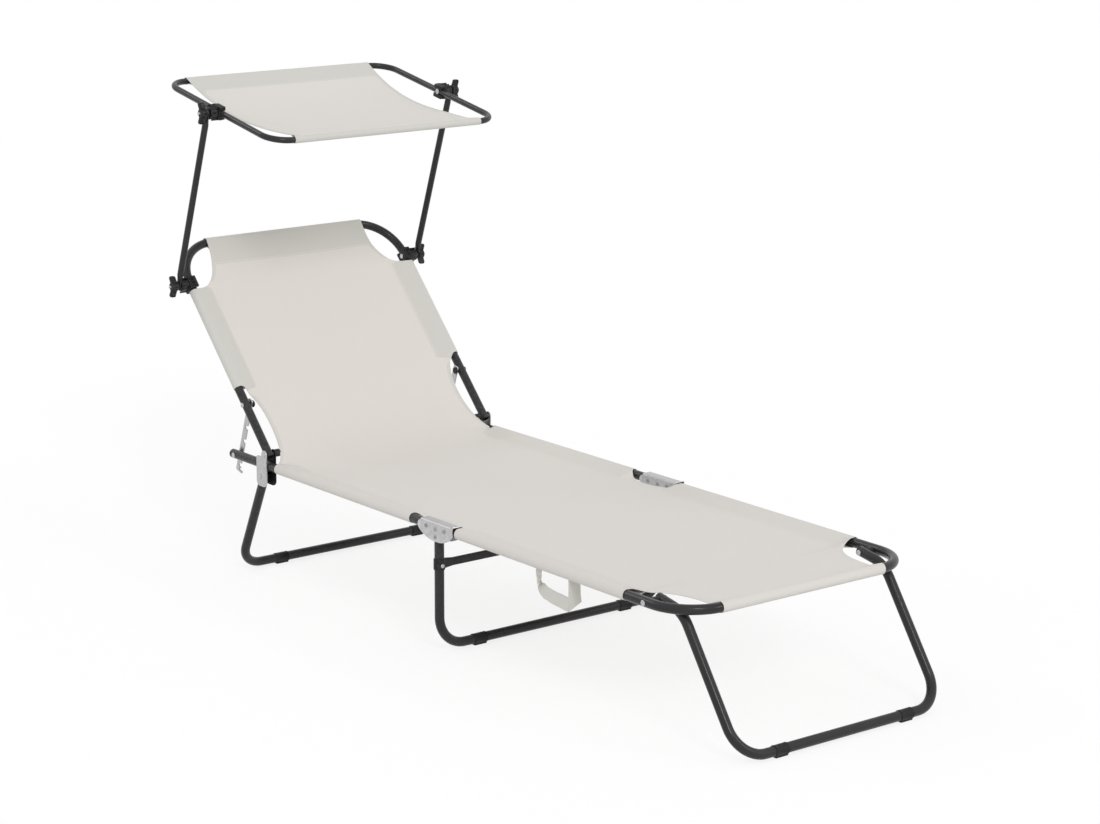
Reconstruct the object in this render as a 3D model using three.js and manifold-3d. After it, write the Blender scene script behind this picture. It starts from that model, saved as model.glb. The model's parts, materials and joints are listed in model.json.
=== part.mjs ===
// Folding sun lounger with a tilting canopy. Millimetres, +Z up, the feet stand on z = 0.
// +Y runs from the foot end to the head end. The sitter's right hand is -X.
// Bent steel tubes carry a fabric sheet in three sections: backrest, seat and foot section.

import * as THREE from 'three';
import { mergeVertices } from 'three/addons/utils/BufferGeometryUtils.js';
import Module from 'manifold-3d';

const wasm = await Module();
wasm.setup();

// Overall sizes
const railSpacing = 558; // centre line to centre line of the two side rails
const deckHeight = 252; // floor to the rails' centre line
const seatLength = 568; // backrest pivot to the seat rail's hinge rivet
const hingeSpan = 58; // between the two rivets of a folding hinge
const footLength = 687.5; // foot rail's hinge rivet to the foot bar's centre line
const backLength = 524; // backrest pivot to the top bar's centre line
const stubLength = 135; // how far the side rails run on behind the backrest pivot

// Tubes
const railDiameter = 19;
const backDiameter = 18;
const legDiameter = 19;
const canopyDiameter = 13;
const armDiameter = 13.5;
const tubeWall = 1.2;
const thinWall = 1;
const footCorner = 88; // bend radius of the foot bar's corners
const backCorner = 92; // bend radius of the top bar's corners
const canopyCorner = 47;
const rearLegCorner = 50;
const midLegCorner = 60;
const frontLegCorner = 60;
const frontKneeCorner = 65;
const tubeSides = 12;
const boreSides = 8;
const arcSegments = 6; // a full circle gets twice as many sides
const bendStepDegrees = 22.5;

// Clearances
const fit = 0.3; // between pieces that seat on each other
const runFit = 0.5; // between pieces that turn past each other
const overrun = 4; // how far a cutting tool passes a face
const meshTolerance = 0.004; // smaller steps than this are left out of a surface

// Backrest
const backAngle = 47; // degrees above the deck, as it stands
const backPivotRise = 25; // backrest pivot above the rails' centre line
const tubeEndRun = 7; // tube left beyond a rivet's centre
const clampShort = 97; // canopy clamps, short of the top bar's centre line

// Canopy
const armLength = 402.65; // clamp bolt to clamp bolt
const armAngle = 61.87; // degrees from the backrest to the arms
const canopyPitch = 10.7; // degrees above the floor, as it stands
const canopyOut = 2.5; // side tubes' centre lines, out from the rails'
const canopyDepth = 417; // centre line to centre line of the front and back bars
const armGap = 30; // arm's centre line, out from the rail's
const canopySplit = 8; // where the two canopy tubes meet, behind the bolt

// Legs
const rearPivotBack = 16; // behind the backrest pivot
const rearPivotDrop = 24; // below the rails' centre line
const rearFootBack = 115; // the bar on the floor, behind the backrest pivot
const midLegAhead = 27; // from the seat rail's hinge rivet towards the foot
const frontPivotShort = 101.5; // front leg's pivot, short of the foot bar's centre line
const frontFootPast = 113.5; // the bar on the floor, past the foot bar's centre line
const frontLegIn = 33; // the front leg's centre line, in from the rail's
const frontKneeRun = 58;
const frontKneeDrop = 10;
const floorGap = 12; // floor to the centre line of a leg's bar
const shoeRadius = 12.6;
const shoeLength = 30;
const rearShoeIn = 101; // a shoe's middle, in from its leg's centre line
const midShoeIn = 95;
const frontShoeIn = 93;

// Sheet metal and rivets
const plateThick = 2.5;
const cheekThick = 2;
const rivetRadius = 3;
const rivetHeadRadius = 5.5;
const rivetHeadHeight = 1.6;
const spacerRadius = 7;
const rivetSides = 8;
const rimShare = 0.7; // a head's flat top, of its radius
const plateFront = 9; // bracket plate ahead of the pivot
const plateBack = 28; // bracket plate behind the pivot
const plateDrop = 44; // bracket plate below the rails' centre line
const plateShoulder = 20; // the low shoulder above the rails' centre line
const plateLobe = 9; // radius round the backrest pivot
const plateCorner = 12;
const shoulderCorner = 6;
const capRadius = 8;
const capLength = 13;
const hingeLength = 105;
const hingeDrop = 28; // cheek's lowest edge below the rails' centre line
const hingeToe = 18; // half width of that edge
const hingeSide = 4; // where the ends' straight edges stop, below the centre line
const hingeBulgeShare = 0.75; // how full the lower edge's curves are, of its drop
const legTopShort = 2; // middle leg's top, short of the rail's top
const legRivetHigh = 3; // the leg's two rivets, below the rails' centre line
const legRivetLow = 20;

// Notched racks
const rackBoltAlong = 122; // backrest pivot to the rack's bolt, along the tube
const rackPinBack = 121; // the pin on the rail's stub, behind the backrest pivot
const rackThick = 3;
const rackClear = 1; // more room between a rack and the rail
const rackAhead = 4; // the bar's edge ahead of the bolt's line
const rackBehind = 11; // the bar's edge behind it
const rackTail = 16; // bar left beyond the last notch
const rackHead = 9; // bar left above the bolt
const notchWidth = 9;
const notchDepth = 4.4; // the notch's end behind the bolt's line
const notchBackAngles = [15, 31, 47, 62]; // backrest angles of the notches
const rackPinRadius = 4;

// Canopy clamps and wing knobs
const clampLength = 31; // along the tube
const clampHeight = 28;
const clampGrip = 8; // how far the block reaches round the tube
const bossShare = 1.15; // a block's round outline, of half its height
const tongueThick = 5; // the arm's flattened end
const tongueWidth = 16;
const tongueLength = 26;
const boltRadius = 3;
const boltHeadRadius = 5.8;
const boltHeadHeight = 2.4;
const knobHubRadius = 10.5;
const knobHubLength = 12;
const wingSpan = 45;
const wingThick = 9;
const wingTipIn = 6; // wing's inner edge at the tip, out from the hub's inner face
const wingRise = 6; // wing's outer edge past the hub's outer face
const wingShoulderShare = 0.6; // where a wing's outer edge turns in, of its reach
const boltEnd = 1.5; // bolt's end past the wing

// Brace and collars on the middle leg
const braceDrop = 73; // below the rails' centre line
const braceWidth = 16;
const braceThick = 6;
const collarLength = 27;
const collarRadius = 12.4;

// Fabric
const clothThick = 2;
const sleeveWall = 1;
const sleeveSteps = 9; // round a sleeve's far side
const seamIn = 45; // sewn seam of a side sleeve, in from the rail's centre line
const barSeamIn = 30; // the same on the foot bar
const topSeamIn = 56; // the same on the top bar
const seatClothStart = 27; // ahead of the backrest pivot
const seatSleeveStart = 29;
const seatSleeveShort = 63; // short of the seat rail's hinge rivet
const hingeClearIn = 30; // fabric edge in from the rail beside the hinges
const footSleeveAhead = 31; // from the foot rail's hinge rivet towards the foot
const footSleeveShort = 156.5; // short of the foot bar's centre line
const pivotCut = 45; // fabric edge in from the rail beside the backrest pivot
const backClothStart = 30; // short of the backrest pivot
const backSleeveStart = 163;
const clampClear = 3; // between a side sleeve and the clamp above it
const clothShort = 1; // a bar's fabric ends this far short of the bar's bend
const clothGap = 2.5; // between two sections of the fabric
const hollowSteps = 6; // along a hollow edge
const footHollow = 14; // how deep a corner's cut-out curves in
const backHollow = 12;
const canopyHollow = 6; // how far the canopy's sides curve in
const canopySag = 23; // how far the canopy's cloth hangs below its bars
const canopySagShare = 1.22; // above 1, the lowest place lies behind the middle
const sagSteps = 12; // along the canopy's hanging cloth
const canopySeamIn = 22;
const strapWidth = 25;
const strapIn = 6; // its middle, in from the rail's centre line
const strapThick = 2;
const strapDrop = 70; // handle's loop below the rail
const strapStart = 277; // from the foot rail's hinge rivet towards the foot
const strapSpan = 108; // between the handle's two ends
const strapSlack = 10;

// Half sizes and places that follow from the sizes above
const railX = railSpacing / 2;
const railR = railDiameter / 2;
const backR = backDiameter / 2;
const legR = legDiameter / 2;
const canopyR = canopyDiameter / 2;
const armR = armDiameter / 2;
const canopyX = railX + canopyOut;
const armOut = railX + armGap;
const frontLegOut = railX - frontLegIn;
const canopyHalfDepth = canopyDepth / 2;
const hingeY = -(seatLength + hingeSpan / 2);
const footHingeY = -(seatLength + hingeSpan);
const footBarY = footHingeY - footLength;
const frontPivotY = footBarY + frontPivotShort;
const clampAlong = backLength - clampShort;
const footClothHalf = railX - footCorner - clothShort;
const backClothHalf = railX - backCorner - clothShort;
const canopyClothHalf = canopyX - canopyCorner - clothShort;
const outerPlateIn = railX + railR + runFit;
const innerPlateOut = railX - railR - runFit;
const rackOuter = railX - railR - runFit - rackClear;

// Finishes
const finishes = {
  steel: new THREE.MeshStandardMaterial({ color: 0x4b494b, roughness: 0.42, metalness: 0.35 }),
  zinc: new THREE.MeshStandardMaterial({ color: 0xc9c8ca, roughness: 0.35, metalness: 0.9 }),
  plastic: new THREE.MeshStandardMaterial({ color: 0x1c1b1c, roughness: 0.55, metalness: 0 }),
  fabric: new THREE.MeshStandardMaterial({ color: 0xdcdad4, roughness: 0.9, metalness: 0 }),
  webbing: new THREE.MeshStandardMaterial({ color: 0xd8d4c8, roughness: 0.85, metalness: 0 }),
};

const degrees = THREE.MathUtils.degToRad;
const sides = [['right', -1], ['left', 1]];

// Solids for cutting and joining
function solidOf(geometry) {
  const bare = geometry.clone();
  bare.deleteAttribute('normal');
  bare.deleteAttribute('uv');
  const merged = mergeVertices(bare);
  return new wasm.Manifold(new wasm.Mesh({
    numProp: 3,
    vertProperties: Float32Array.from(merged.attributes.position.array),
    triVerts: Uint32Array.from(merged.index.array),
  }));
}

function geometryOf(solid) {
  const mesh = solid.simplify(meshTolerance).getMesh();
  const geometry = new THREE.BufferGeometry();
  geometry.setAttribute('position', new THREE.BufferAttribute(Float32Array.from(mesh.vertProperties), 3));
  geometry.setIndex(new THREE.BufferAttribute(Uint32Array.from(mesh.triVerts), 1));
  return geometry;
}

function joined(parts) {
  return parts.reduce((all, part) => all.add(part));
}

function without(solid, tools) {
  return tools.reduce((rest, tool) => rest.subtract(tool), solid);
}

// A named piece in its group
function addPiece(group, name, solid, finish) {
  const geometry = geometryOf(solid);
  geometry.computeVertexNormals();
  const mesh = new THREE.Mesh(geometry, finishes[finish]);
  mesh.name = name;
  group.add(mesh);
  return mesh;
}

function addGroup(parent, y, z, angle) {
  const group = new THREE.Group();
  group.position.set(0, y, z);
  group.rotation.x = degrees(angle);
  parent.add(group);
  return group;
}

// A route of straight runs with an arc at each inner corner
class BentRoute extends THREE.Curve {
  constructor(points) {
    super();
    this.points = points;
  }

  getPointAt(share, target = new THREE.Vector3()) {
    const index = Math.round(share * (this.points.length - 1));
    return target.copy(this.points[index]);
  }

  getTangentAt(share, target = new THREE.Vector3()) {
    const last = this.points.length - 1;
    const index = Math.round(share * last);
    const before = this.points[Math.max(index - 1, 0)];
    const after = this.points[Math.min(index + 1, last)];
    const here = this.points[index];
    target.set(0, 0, 0);
    if (index > 0) target.add(here.clone().sub(before).normalize());
    if (index < last) target.add(after.clone().sub(here).normalize());
    return target.normalize();
  }
}

function bentPoints(corners, radii) {
  const points = [corners[0]];
  for (let i = 1; i < corners.length - 1; i += 1) {
    const toward = corners[i - 1].clone().sub(corners[i]).normalize();
    const onward = corners[i + 1].clone().sub(corners[i]).normalize();
    const inner = toward.angleTo(onward);
    const turn = Math.PI - inner;
    const radius = radii[i - 1];
    const middle = toward.clone().add(onward).normalize();
    const centre = corners[i].clone().addScaledVector(middle, radius / Math.sin(inner / 2));
    const reach = radius / Math.tan(inner / 2);
    const first = corners[i].clone().addScaledVector(toward, reach).sub(centre);
    const last = corners[i].clone().addScaledVector(onward, reach).sub(centre);
    const axis = first.clone().cross(last).normalize();
    const steps = Math.max(2, Math.round(turn / degrees(bendStepDegrees)));
    for (let k = 0; k <= steps; k += 1) {
      points.push(first.clone().applyAxisAngle(axis, (turn * k) / steps).add(centre));
    }
  }
  points.push(corners[corners.length - 1]);
  return points;
}

function swept(shape, corners, radii) {
  const points = bentPoints(corners, radii);
  return solidOf(new THREE.ExtrudeGeometry(shape, {
    steps: points.length - 1,
    curveSegments: arcSegments,
    extrudePath: new BentRoute(points),
  }));
}

function circlePoints(x, radius, count) {
  return Array.from({ length: count }, (_, k) => {
    const angle = (Math.PI * 2 * k) / count;
    return new THREE.Vector2(x + radius * Math.cos(angle), radius * Math.sin(angle));
  });
}

function ring(outer, inner) {
  const shape = new THREE.Shape(circlePoints(0, outer, tubeSides));
  shape.holes.push(new THREE.Path(circlePoints(0, inner, boreSides).reverse()));
  return shape;
}

function pipe(corners, radii, radius, wall) {
  return swept(ring(radius, radius - wall), corners, radii);
}

const at = (x, y, z) => new THREE.Vector3(x, y, z);
const flat = (x, y) => new THREE.Vector2(x, y);

// Cylinders, slabs and boxes
function rodAcross(x0, x1, y, z, radius, count = rivetSides) {
  const geometry = new THREE.CylinderGeometry(radius, radius, Math.abs(x1 - x0), count);
  geometry.rotateZ(Math.PI / 2);
  geometry.translate((x0 + x1) / 2, y, z);
  return solidOf(geometry);
}

function rodAlong(x, y0, y1, z, radius, count = tubeSides) {
  const geometry = new THREE.CylinderGeometry(radius, radius, Math.abs(y1 - y0), count);
  geometry.translate(x, (y0 + y1) / 2, z);
  return solidOf(geometry);
}

function block(x0, x1, y0, y1, z0, z1) {
  const geometry = new THREE.BoxGeometry(Math.abs(x1 - x0), Math.abs(y1 - y0), Math.abs(z1 - z0));
  geometry.translate((x0 + x1) / 2, (y0 + y1) / 2, (z0 + z1) / 2);
  return solidOf(geometry);
}

// A flat plate whose outline is drawn in Y and Z and whose thickness runs from x0 to x1
function uprightPlate(outline, x0, x1, segments = arcSegments / 2) {
  const geometry = new THREE.ExtrudeGeometry(outline, {
    depth: Math.abs(x1 - x0),
    bevelEnabled: false,
    curveSegments: segments,
  });
  geometry.applyMatrix4(new THREE.Matrix4().makeBasis(at(0, 1, 0), at(0, 0, 1), at(1, 0, 0)));
  geometry.translate(Math.min(x0, x1), 0, 0);
  return solidOf(geometry);
}

// A dome for a rivet's or bolt's head, its flat side at x, facing the way of out
function headAcross(x, y, z, radius, height, out) {
  const profile = [flat(0, 0), flat(radius, 0), flat(radius * rimShare, height), flat(0, height)];
  const geometry = new THREE.LatheGeometry(profile, rivetSides);
  geometry.rotateZ(-out * Math.PI / 2);
  geometry.translate(x, y, z);
  return solidOf(geometry);
}

function rivetAcross(side, inner, outer, y, z) {
  const shank = rodAcross(side * inner, side * outer, y, z, rivetRadius);
  const outerHead = headAcross(side * outer, y, z, rivetHeadRadius, rivetHeadHeight, side);
  const innerHead = headAcross(side * inner, y, z, rivetHeadRadius, rivetHeadHeight, -side);
  return joined([shank, outerHead, innerHead]);
}

function holeAcross(x0, x1, y, z, radius = rivetRadius + fit) {
  return rodAcross(x0, x1, y, z, radius);
}

// Seat frame

// The rounded front end of a side rail turns inside the folding hinge
function roundedEnd(x, y, z, bodyY, radius) {
  const swing = railR + overrun;
  const cap = rodAcross(x - swing, x + swing, y, z, radius, tubeSides * 2);
  return cap.add(block(x - swing, x + swing, y, bodyY, z - swing, z + swing));
}

const hingeEndRadius = railR + fit;

function sideRail(side) {
  const x = side * railX;
  const front = -seatLength - hingeEndRadius;
  const rail = pipe([at(x, front, deckHeight), at(x, stubLength, deckHeight)], [], railR, tubeWall);
  const end = roundedEnd(x, -seatLength, deckHeight, stubLength + overrun, hingeEndRadius);
  const reach = railR + overrun;
  const holes = [-seatLength, 0, rackPinBack]
    .map((y) => holeAcross(x - reach, x + reach, y, deckHeight));
  return without(rail.intersect(end), holes);
}

function rackPin(side) {
  const inner = rackOuter + runFit;
  const outer = railX + railR + fit;
  const shank = rodAcross(side * inner, side * outer, rackPinBack, deckHeight, rivetRadius);
  return shank.add(headAcross(side * outer, rackPinBack, deckHeight, rackPinRadius, rivetHeadHeight, side));
}

// Bracket plates hold the backrest tube above the rail and the rear leg below it
function bracketOutline() {
  const outline = new THREE.Shape();
  const low = plateCorner - plateDrop;
  const high = plateShoulder - shoulderCorner;
  const down = -Math.PI / 2;
  outline.moveTo(-plateFront, backPivotRise);
  outline.lineTo(-plateFront, low);
  outline.absarc(plateCorner - plateFront, low, plateCorner, -Math.PI, down, false);
  outline.absarc(plateBack - plateCorner, low, plateCorner, down, 0, false);
  outline.lineTo(plateBack, high);
  outline.absarc(plateBack - shoulderCorner, high, shoulderCorner, 0, -down, false);
  outline.lineTo(plateLobe, plateShoulder);
  outline.absarc(0, backPivotRise, plateLobe, 0, Math.PI, false);
  return outline;
}

function bracketPlate(side, near) {
  const low = near ? outerPlateIn : innerPlateOut - plateThick;
  const plate = uprightPlate(bracketOutline(), side * low, side * (low + plateThick));
  const placed = plate.translate([0, 0, deckHeight]);
  const reach = plateThick + overrun;
  const middle = side * (low + plateThick / 2);
  const pins = [[0, deckHeight + backPivotRise], [rearPivotBack, deckHeight - rearPivotDrop]];
  const holes = pins.map(([y, z]) => holeAcross(middle - reach, middle + reach, y, z));
  const railHole = near ? [] : [holeAcross(middle - reach, middle + reach, 0, deckHeight)];
  return without(placed, holes.concat(railHole));
}

// The outer plate carries the rivet that pins both plates to the rail
function outerBracket(side) {
  const face = outerPlateIn + plateThick;
  const head = headAcross(side * face, 0, deckHeight, rivetHeadRadius, rivetHeadHeight, side);
  const inner = innerPlateOut - plateThick;
  const shank = rodAcross(side * outerPlateIn, side * inner, 0, deckHeight, rivetRadius);
  return joined([bracketPlate(side, true), shank, head]);
}

function backPivotBolt(side) {
  const y = 0;
  const z = deckHeight + backPivotRise;
  const outer = outerPlateIn + plateThick + fit;
  const inner = innerPlateOut - plateThick - fit;
  const shank = rodAcross(side * (inner - capLength / 2), side * outer, y, z, rivetRadius);
  const head = headAcross(side * outer, y, z, rivetHeadRadius, rivetHeadHeight, side);
  const cap = rodAcross(side * inner, side * (inner - capLength), y, z, capRadius);
  return joined([shank, head, cap]);
}

function rearLegPin(side) {
  return rivetAcross(side, innerPlateOut - plateThick - fit, outerPlateIn + plateThick + fit,
    rearPivotBack, deckHeight - rearPivotDrop);
}

// Fabric

// Section of a sewn sleeve round a tube: a round end on the tube, drawn in to the seam
function sleeveSection(side, x, radius, seam) {
  const outer = radius + fit + sleeveWall;
  const seamX = x - side * seam;
  const half = clothThick / 2;
  const shape = new THREE.Shape();
  const lean = Math.acos((outer - half) / seam);
  const start = side > 0 ? Math.PI - lean : lean;
  const points = [];
  const sweep = 2 * (Math.PI - lean);
  for (let k = 0; k <= sleeveSteps; k += 1) {
    const angle = start - side * (sweep * k) / sleeveSteps;
    points.push(new THREE.Vector2(x + outer * Math.cos(angle), outer * Math.sin(angle)));
  }
  points.push(new THREE.Vector2(seamX, -half));
  points.push(new THREE.Vector2(seamX, half));
  shape.setFromPoints(side > 0 ? points.reverse() : points);
  shape.holes.push(new THREE.Path(circlePoints(x, radius + fit, tubeSides).reverse()));
  return shape;
}

// A sleeve that runs along Y from y0 to y1 at height z
function sideSleeve(side, x, radius, seam, y0, y1, z) {
  const geometry = new THREE.ExtrudeGeometry(sleeveSection(side, x, radius, seam), {
    depth: Math.abs(y1 - y0),
    bevelEnabled: false,
    curveSegments: arcSegments,
  });
  geometry.rotateX(Math.PI / 2);
  geometry.translate(0, Math.max(y0, y1), z);
  return solidOf(geometry);
}

// A sleeve that runs along X, on a bar at y, with its seam on the side of inward
function barSleeve(half, y, inward, radius, seam, z) {
  const geometry = new THREE.ExtrudeGeometry(sleeveSection(-inward, 0, radius, seam), {
    depth: half * 2,
    bevelEnabled: false,
    curveSegments: arcSegments,
  });
  geometry.rotateX(Math.PI / 2);
  geometry.rotateZ(Math.PI / 2);
  geometry.translate(-half, y, z);
  return solidOf(geometry);
}

// A flat sheet between two lists of points down its right and left edges
function flatSheet(edge, z) {
  const outline = new THREE.Shape();
  const mirrored = edge.map((p) => new THREE.Vector2(-p.x, p.y)).reverse();
  outline.setFromPoints(edge.concat(mirrored));
  const geometry = new THREE.ExtrudeGeometry(outline, { depth: clothThick, bevelEnabled: false });
  geometry.translate(0, 0, z - clothThick / 2);
  return solidOf(geometry);
}

// A hollow edge from one point to another, bowed in towards the middle line by depth
function hollowEdge(from, to, depth, steps = hollowSteps) {
  const points = [];
  for (let k = 0; k <= steps; k += 1) {
    const share = k / steps;
    const bow = depth * Math.sin(Math.PI * share);
    points.push(new THREE.Vector2(
      from.x + (to.x - from.x) * share - bow,
      from.y + (to.y - from.y) * share,
    ));
  }
  return points;
}

const seamX = railX - seamIn;

function seatSheet() {
  const hingeX = railX - hingeClearIn;
  const end = hingeY + clothGap / 2;
  const sleeveEnd = seatSleeveShort - seatLength;
  const edge = [
    flat(railX - pivotCut, -seatClothStart),
    flat(seamX, -seatSleeveStart - clothThick),
    flat(seamX, sleeveEnd),
    flat(hingeX, sleeveEnd - hingeClearIn / 2),
    flat(hingeX, end),
  ];
  const sleeves = sides.map(([, side]) => sideSleeve(side, side * railX, railR, seamIn,
    -seatSleeveStart, sleeveEnd, deckHeight));
  return joined([flatSheet(edge, deckHeight), ...sleeves]);
}

function footSheet() {
  const hingeX = railX - hingeClearIn;
  const start = hingeY - clothGap / 2;
  const sleeveStart = footHingeY - footSleeveAhead;
  const sleeveEnd = footBarY + footSleeveShort;
  const edge = [
    flat(hingeX, start),
    flat(hingeX, sleeveStart + hingeClearIn / 2),
    flat(seamX, sleeveStart),
    ...hollowEdge(flat(seamX, sleeveEnd), flat(footClothHalf, footBarY + barSeamIn), footHollow),
  ];
  const sleeves = sides.map(([, side]) => sideSleeve(side, side * railX, railR, seamIn,
    sleeveStart, sleeveEnd, deckHeight));
  const bar = barSleeve(footClothHalf, footBarY, 1, railR, barSeamIn, deckHeight);
  return joined([flatSheet(edge, deckHeight), ...sleeves, bar]);
}

// The backrest's fabric, drawn with the backrest lying along Y from its pivot
function backSheet() {
  const sleeveEnd = clampAlong - clampLength / 2 - clampClear;
  const edge = [
    ...hollowEdge(flat(backClothHalf, backLength - topSeamIn), flat(seamX, sleeveEnd), backHollow),
    flat(seamX, backSleeveStart),
    flat(railX - pivotCut, -backClothStart),
  ];
  const sleeves = sides.map(([, side]) => sideSleeve(side, side * railX, backR, seamIn,
    backSleeveStart, sleeveEnd, 0));
  const bar = barSleeve(backClothHalf, backLength, -1, backR, topSeamIn, 0);
  return joined([flatSheet(edge, 0), ...sleeves, bar]);
}

// Backrest

function backFrame() {
  const low = -tubeEndRun;
  const corners = [at(-railX, low, 0), at(-railX, backLength, 0), at(railX, backLength, 0),
    at(railX, low, 0)];
  const frame = pipe(corners, [backCorner, backCorner], backR, tubeWall);
  const reach = backR + overrun;
  const holes = sides.flatMap(([, side]) => [0, rackBoltAlong, clampAlong]
    .map((y) => holeAcross(side * railX - reach, side * railX + reach, y, 0)));
  return without(frame, holes);
}

// Rack: a flat notched bar. Its local Y runs from the bolt to the hook, its notches open to -Z
const backPivotZ = deckHeight + backPivotRise;

function rackReach(angle) {
  const y = rackBoltAlong * Math.cos(degrees(angle));
  const z = backPivotRise + rackBoltAlong * Math.sin(degrees(angle));
  return Math.hypot(rackPinBack - y, z);
}

function rackTilt() {
  const y = rackBoltAlong * Math.cos(degrees(backAngle));
  const z = backPivotRise + rackBoltAlong * Math.sin(degrees(backAngle));
  return THREE.MathUtils.radToDeg(Math.atan2(-z, rackPinBack - y)) - backAngle;
}

function rackBar(side) {
  const low = rackOuter - rackThick;
  const last = rackReach(Math.max(...notchBackAngles));
  const outline = new THREE.Shape();
  outline.moveTo(-rackHead, -rackAhead);
  outline.lineTo(last + rackTail, -rackAhead);
  outline.lineTo(last + rackTail, rackBehind - rackAhead);
  outline.lineTo(last + rackTail - rackAhead, rackBehind);
  outline.lineTo(-rackHead, rackBehind);
  const bar = uprightPlate(outline, side * low, side * rackOuter);
  const reach = rackThick + overrun;
  const middle = side * (low + rackThick / 2);
  const notches = notchBackAngles.map((angle) => {
    const along = rackReach(angle);
    const half = notchWidth / 2;
    const slot = block(middle - reach, middle + reach, along - half, along + half,
      -rackAhead - overrun, notchDepth - half);
    return slot.add(rodAcross(middle - reach, middle + reach, along, notchDepth - half, half));
  });
  return without(bar, [...notches, holeAcross(middle - reach, middle + reach, 0, 0)]);
}

function rackBolt(side) {
  const outer = railX + backR + fit;
  const inner = rackOuter - rackThick - runFit;
  const rivet = rivetAcross(side, inner, outer, rackBoltAlong, 0);
  const tubeInner = railX - backR - fit;
  const spacer = rodAcross(side * (rackOuter + fit), side * tubeInner, rackBoltAlong, 0, rivetHeadRadius);
  return rivet.add(spacer);
}

// Clamps: a block that grips the tube, a bolt through both, a wing knob outside
function clampBlock(side, tubeX, tubeRadius, y) {
  const inner = tubeX + tubeRadius - clampGrip;
  const outer = armOut - tongueThick / 2 - fit;
  const half = clampHeight / 2;
  const body = block(side * inner, side * outer, y - clampLength / 2, y + clampLength / 2, -half, half);
  const boss = rodAcross(side * inner, side * outer, y, 0, half * bossShare, tubeSides * 2);
  const saddle = rodAlong(side * tubeX, y - clampLength, y + clampLength, 0, tubeRadius + fit);
  const hole = holeAcross(side * (inner - overrun), side * (outer + overrun), y, 0, boltRadius + fit);
  return without(body.intersect(boss), [saddle, hole]);
}

const knobInner = armOut + tongueThick / 2 + runFit;
const wingOuter = knobInner + knobHubLength + wingRise;

function clampBolt(side, tubeX, tubeRadius, y) {
  const inner = tubeX - tubeRadius - fit;
  const outer = wingOuter + boltEnd;
  const shank = rodAcross(side * inner, side * outer, y, 0, boltRadius);
  return shank.add(headAcross(side * inner, y, 0, boltHeadRadius, boltHeadHeight, -side));
}

// A wing knob, drawn about the X axis, with its wings up and down
function wingKnob(side) {
  const hubOuter = knobInner + knobHubLength + wingRise / 2;
  const hub = rodAcross(side * knobInner, side * hubOuter, 0, 0, knobHubRadius, tubeSides);
  const tip = wingSpan / 2;
  const shoulder = tip * wingShoulderShare;
  const inner = knobInner + wingTipIn;
  const root = inner - wingTipIn / 2;
  const half = [[wingOuter - wingRise / 2, 0], [wingOuter, shoulder], [wingOuter, tip], [inner, tip],
    [root, knobHubRadius]];
  const below = half.slice(1).reverse().map(([x, z]) => [x, -z]);
  const profile = new THREE.Shape(half.concat(below).map(([x, z]) => flat(side * x, z)));
  const geometry = new THREE.ExtrudeGeometry(profile, { depth: wingThick, bevelEnabled: false });
  geometry.rotateX(Math.PI / 2);
  geometry.translate(0, wingThick / 2, 0);
  const wings = solidOf(geometry);
  const hole = holeAcross(side * (knobInner - overrun), side * (wingOuter + overrun), 0, 0, boltRadius + fit);
  return without(hub.add(wings), [hole]);
}

// Canopy arm: a tube with a flattened tongue at each end, along Y from the lower bolt
function canopyArm(side) {
  const x = side * armOut;
  const tubeStart = tongueWidth / 2 + boltRadius;
  const tube = pipe([at(x, tubeStart, 0), at(x, armLength - tubeStart, 0)], [], armR, thinWall);
  const half = tongueThick / 2;
  const tongues = [[0, 1], [armLength, -1]].map(([y, way]) => {
    const plate = block(x - half, x + half, y, y + way * tongueLength, -tongueWidth / 2, tongueWidth / 2);
    return plate.add(rodAcross(x - half, x + half, y, 0, tongueWidth / 2, tubeSides));
  });
  const seats = [[0, 1], [armLength, -1]].map(([y]) => without(
    rodAcross(x - armDiameter, x + armDiameter, y, 0, tubeStart + tongueWidth / 2, tubeSides * 2),
    [block(x - half, x + half, y - armLength, y + armLength, -armDiameter * 2, armDiameter * 2)],
  ));
  const holes = [0, armLength].map((y) => holeAcross(x - armDiameter, x + armDiameter, y, 0,
    boltRadius + fit));
  return without(joined([tube, ...tongues]), [...seats, ...holes]);
}

// Canopy: two U tubes that meet inside the clamps. Local Y runs from the front bar to the back bar
function canopyTube(front) {
  const bar = front ? -canopyHalfDepth : canopyHalfDepth;
  const end = front ? canopySplit - fit : canopySplit + fit;
  const corners = [at(-canopyX, end, 0), at(-canopyX, bar, 0), at(canopyX, bar, 0),
    at(canopyX, end, 0)];
  const tube = pipe(corners, [canopyCorner, canopyCorner], canopyR, thinWall);
  const reach = canopyR + overrun;
  const holes = sides.map(([, side]) => holeAcross(side * canopyX - reach, side * canopyX + reach, 0, 0,
    boltRadius + fit));
  return without(tube, holes);
}

// The cloth that hangs between the seams of both bars' sleeves, its sides not cut yet
function hangingCloth(frontSeam, backSeam) {
  const shape = new THREE.Shape();
  const half = clothThick / 2;
  const line = [];
  for (let k = 0; k <= sagSteps; k += 1) {
    const share = k / sagSteps;
    const drop = canopySag * Math.sin(Math.PI * share ** canopySagShare);
    line.push(new THREE.Vector2(frontSeam + (backSeam - frontSeam) * share, -drop));
  }
  const lower = line.map((p) => new THREE.Vector2(p.x, p.y - half));
  const upper = line.map((p) => new THREE.Vector2(p.x, p.y + half)).reverse();
  shape.setFromPoints(lower.concat(upper));
  const geometry = new THREE.ExtrudeGeometry(shape, { depth: canopyClothHalf * 2, bevelEnabled: false });
  geometry.rotateX(Math.PI / 2);
  geometry.rotateZ(Math.PI / 2);
  geometry.translate(-canopyClothHalf, 0, 0);
  return solidOf(geometry);
}

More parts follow.
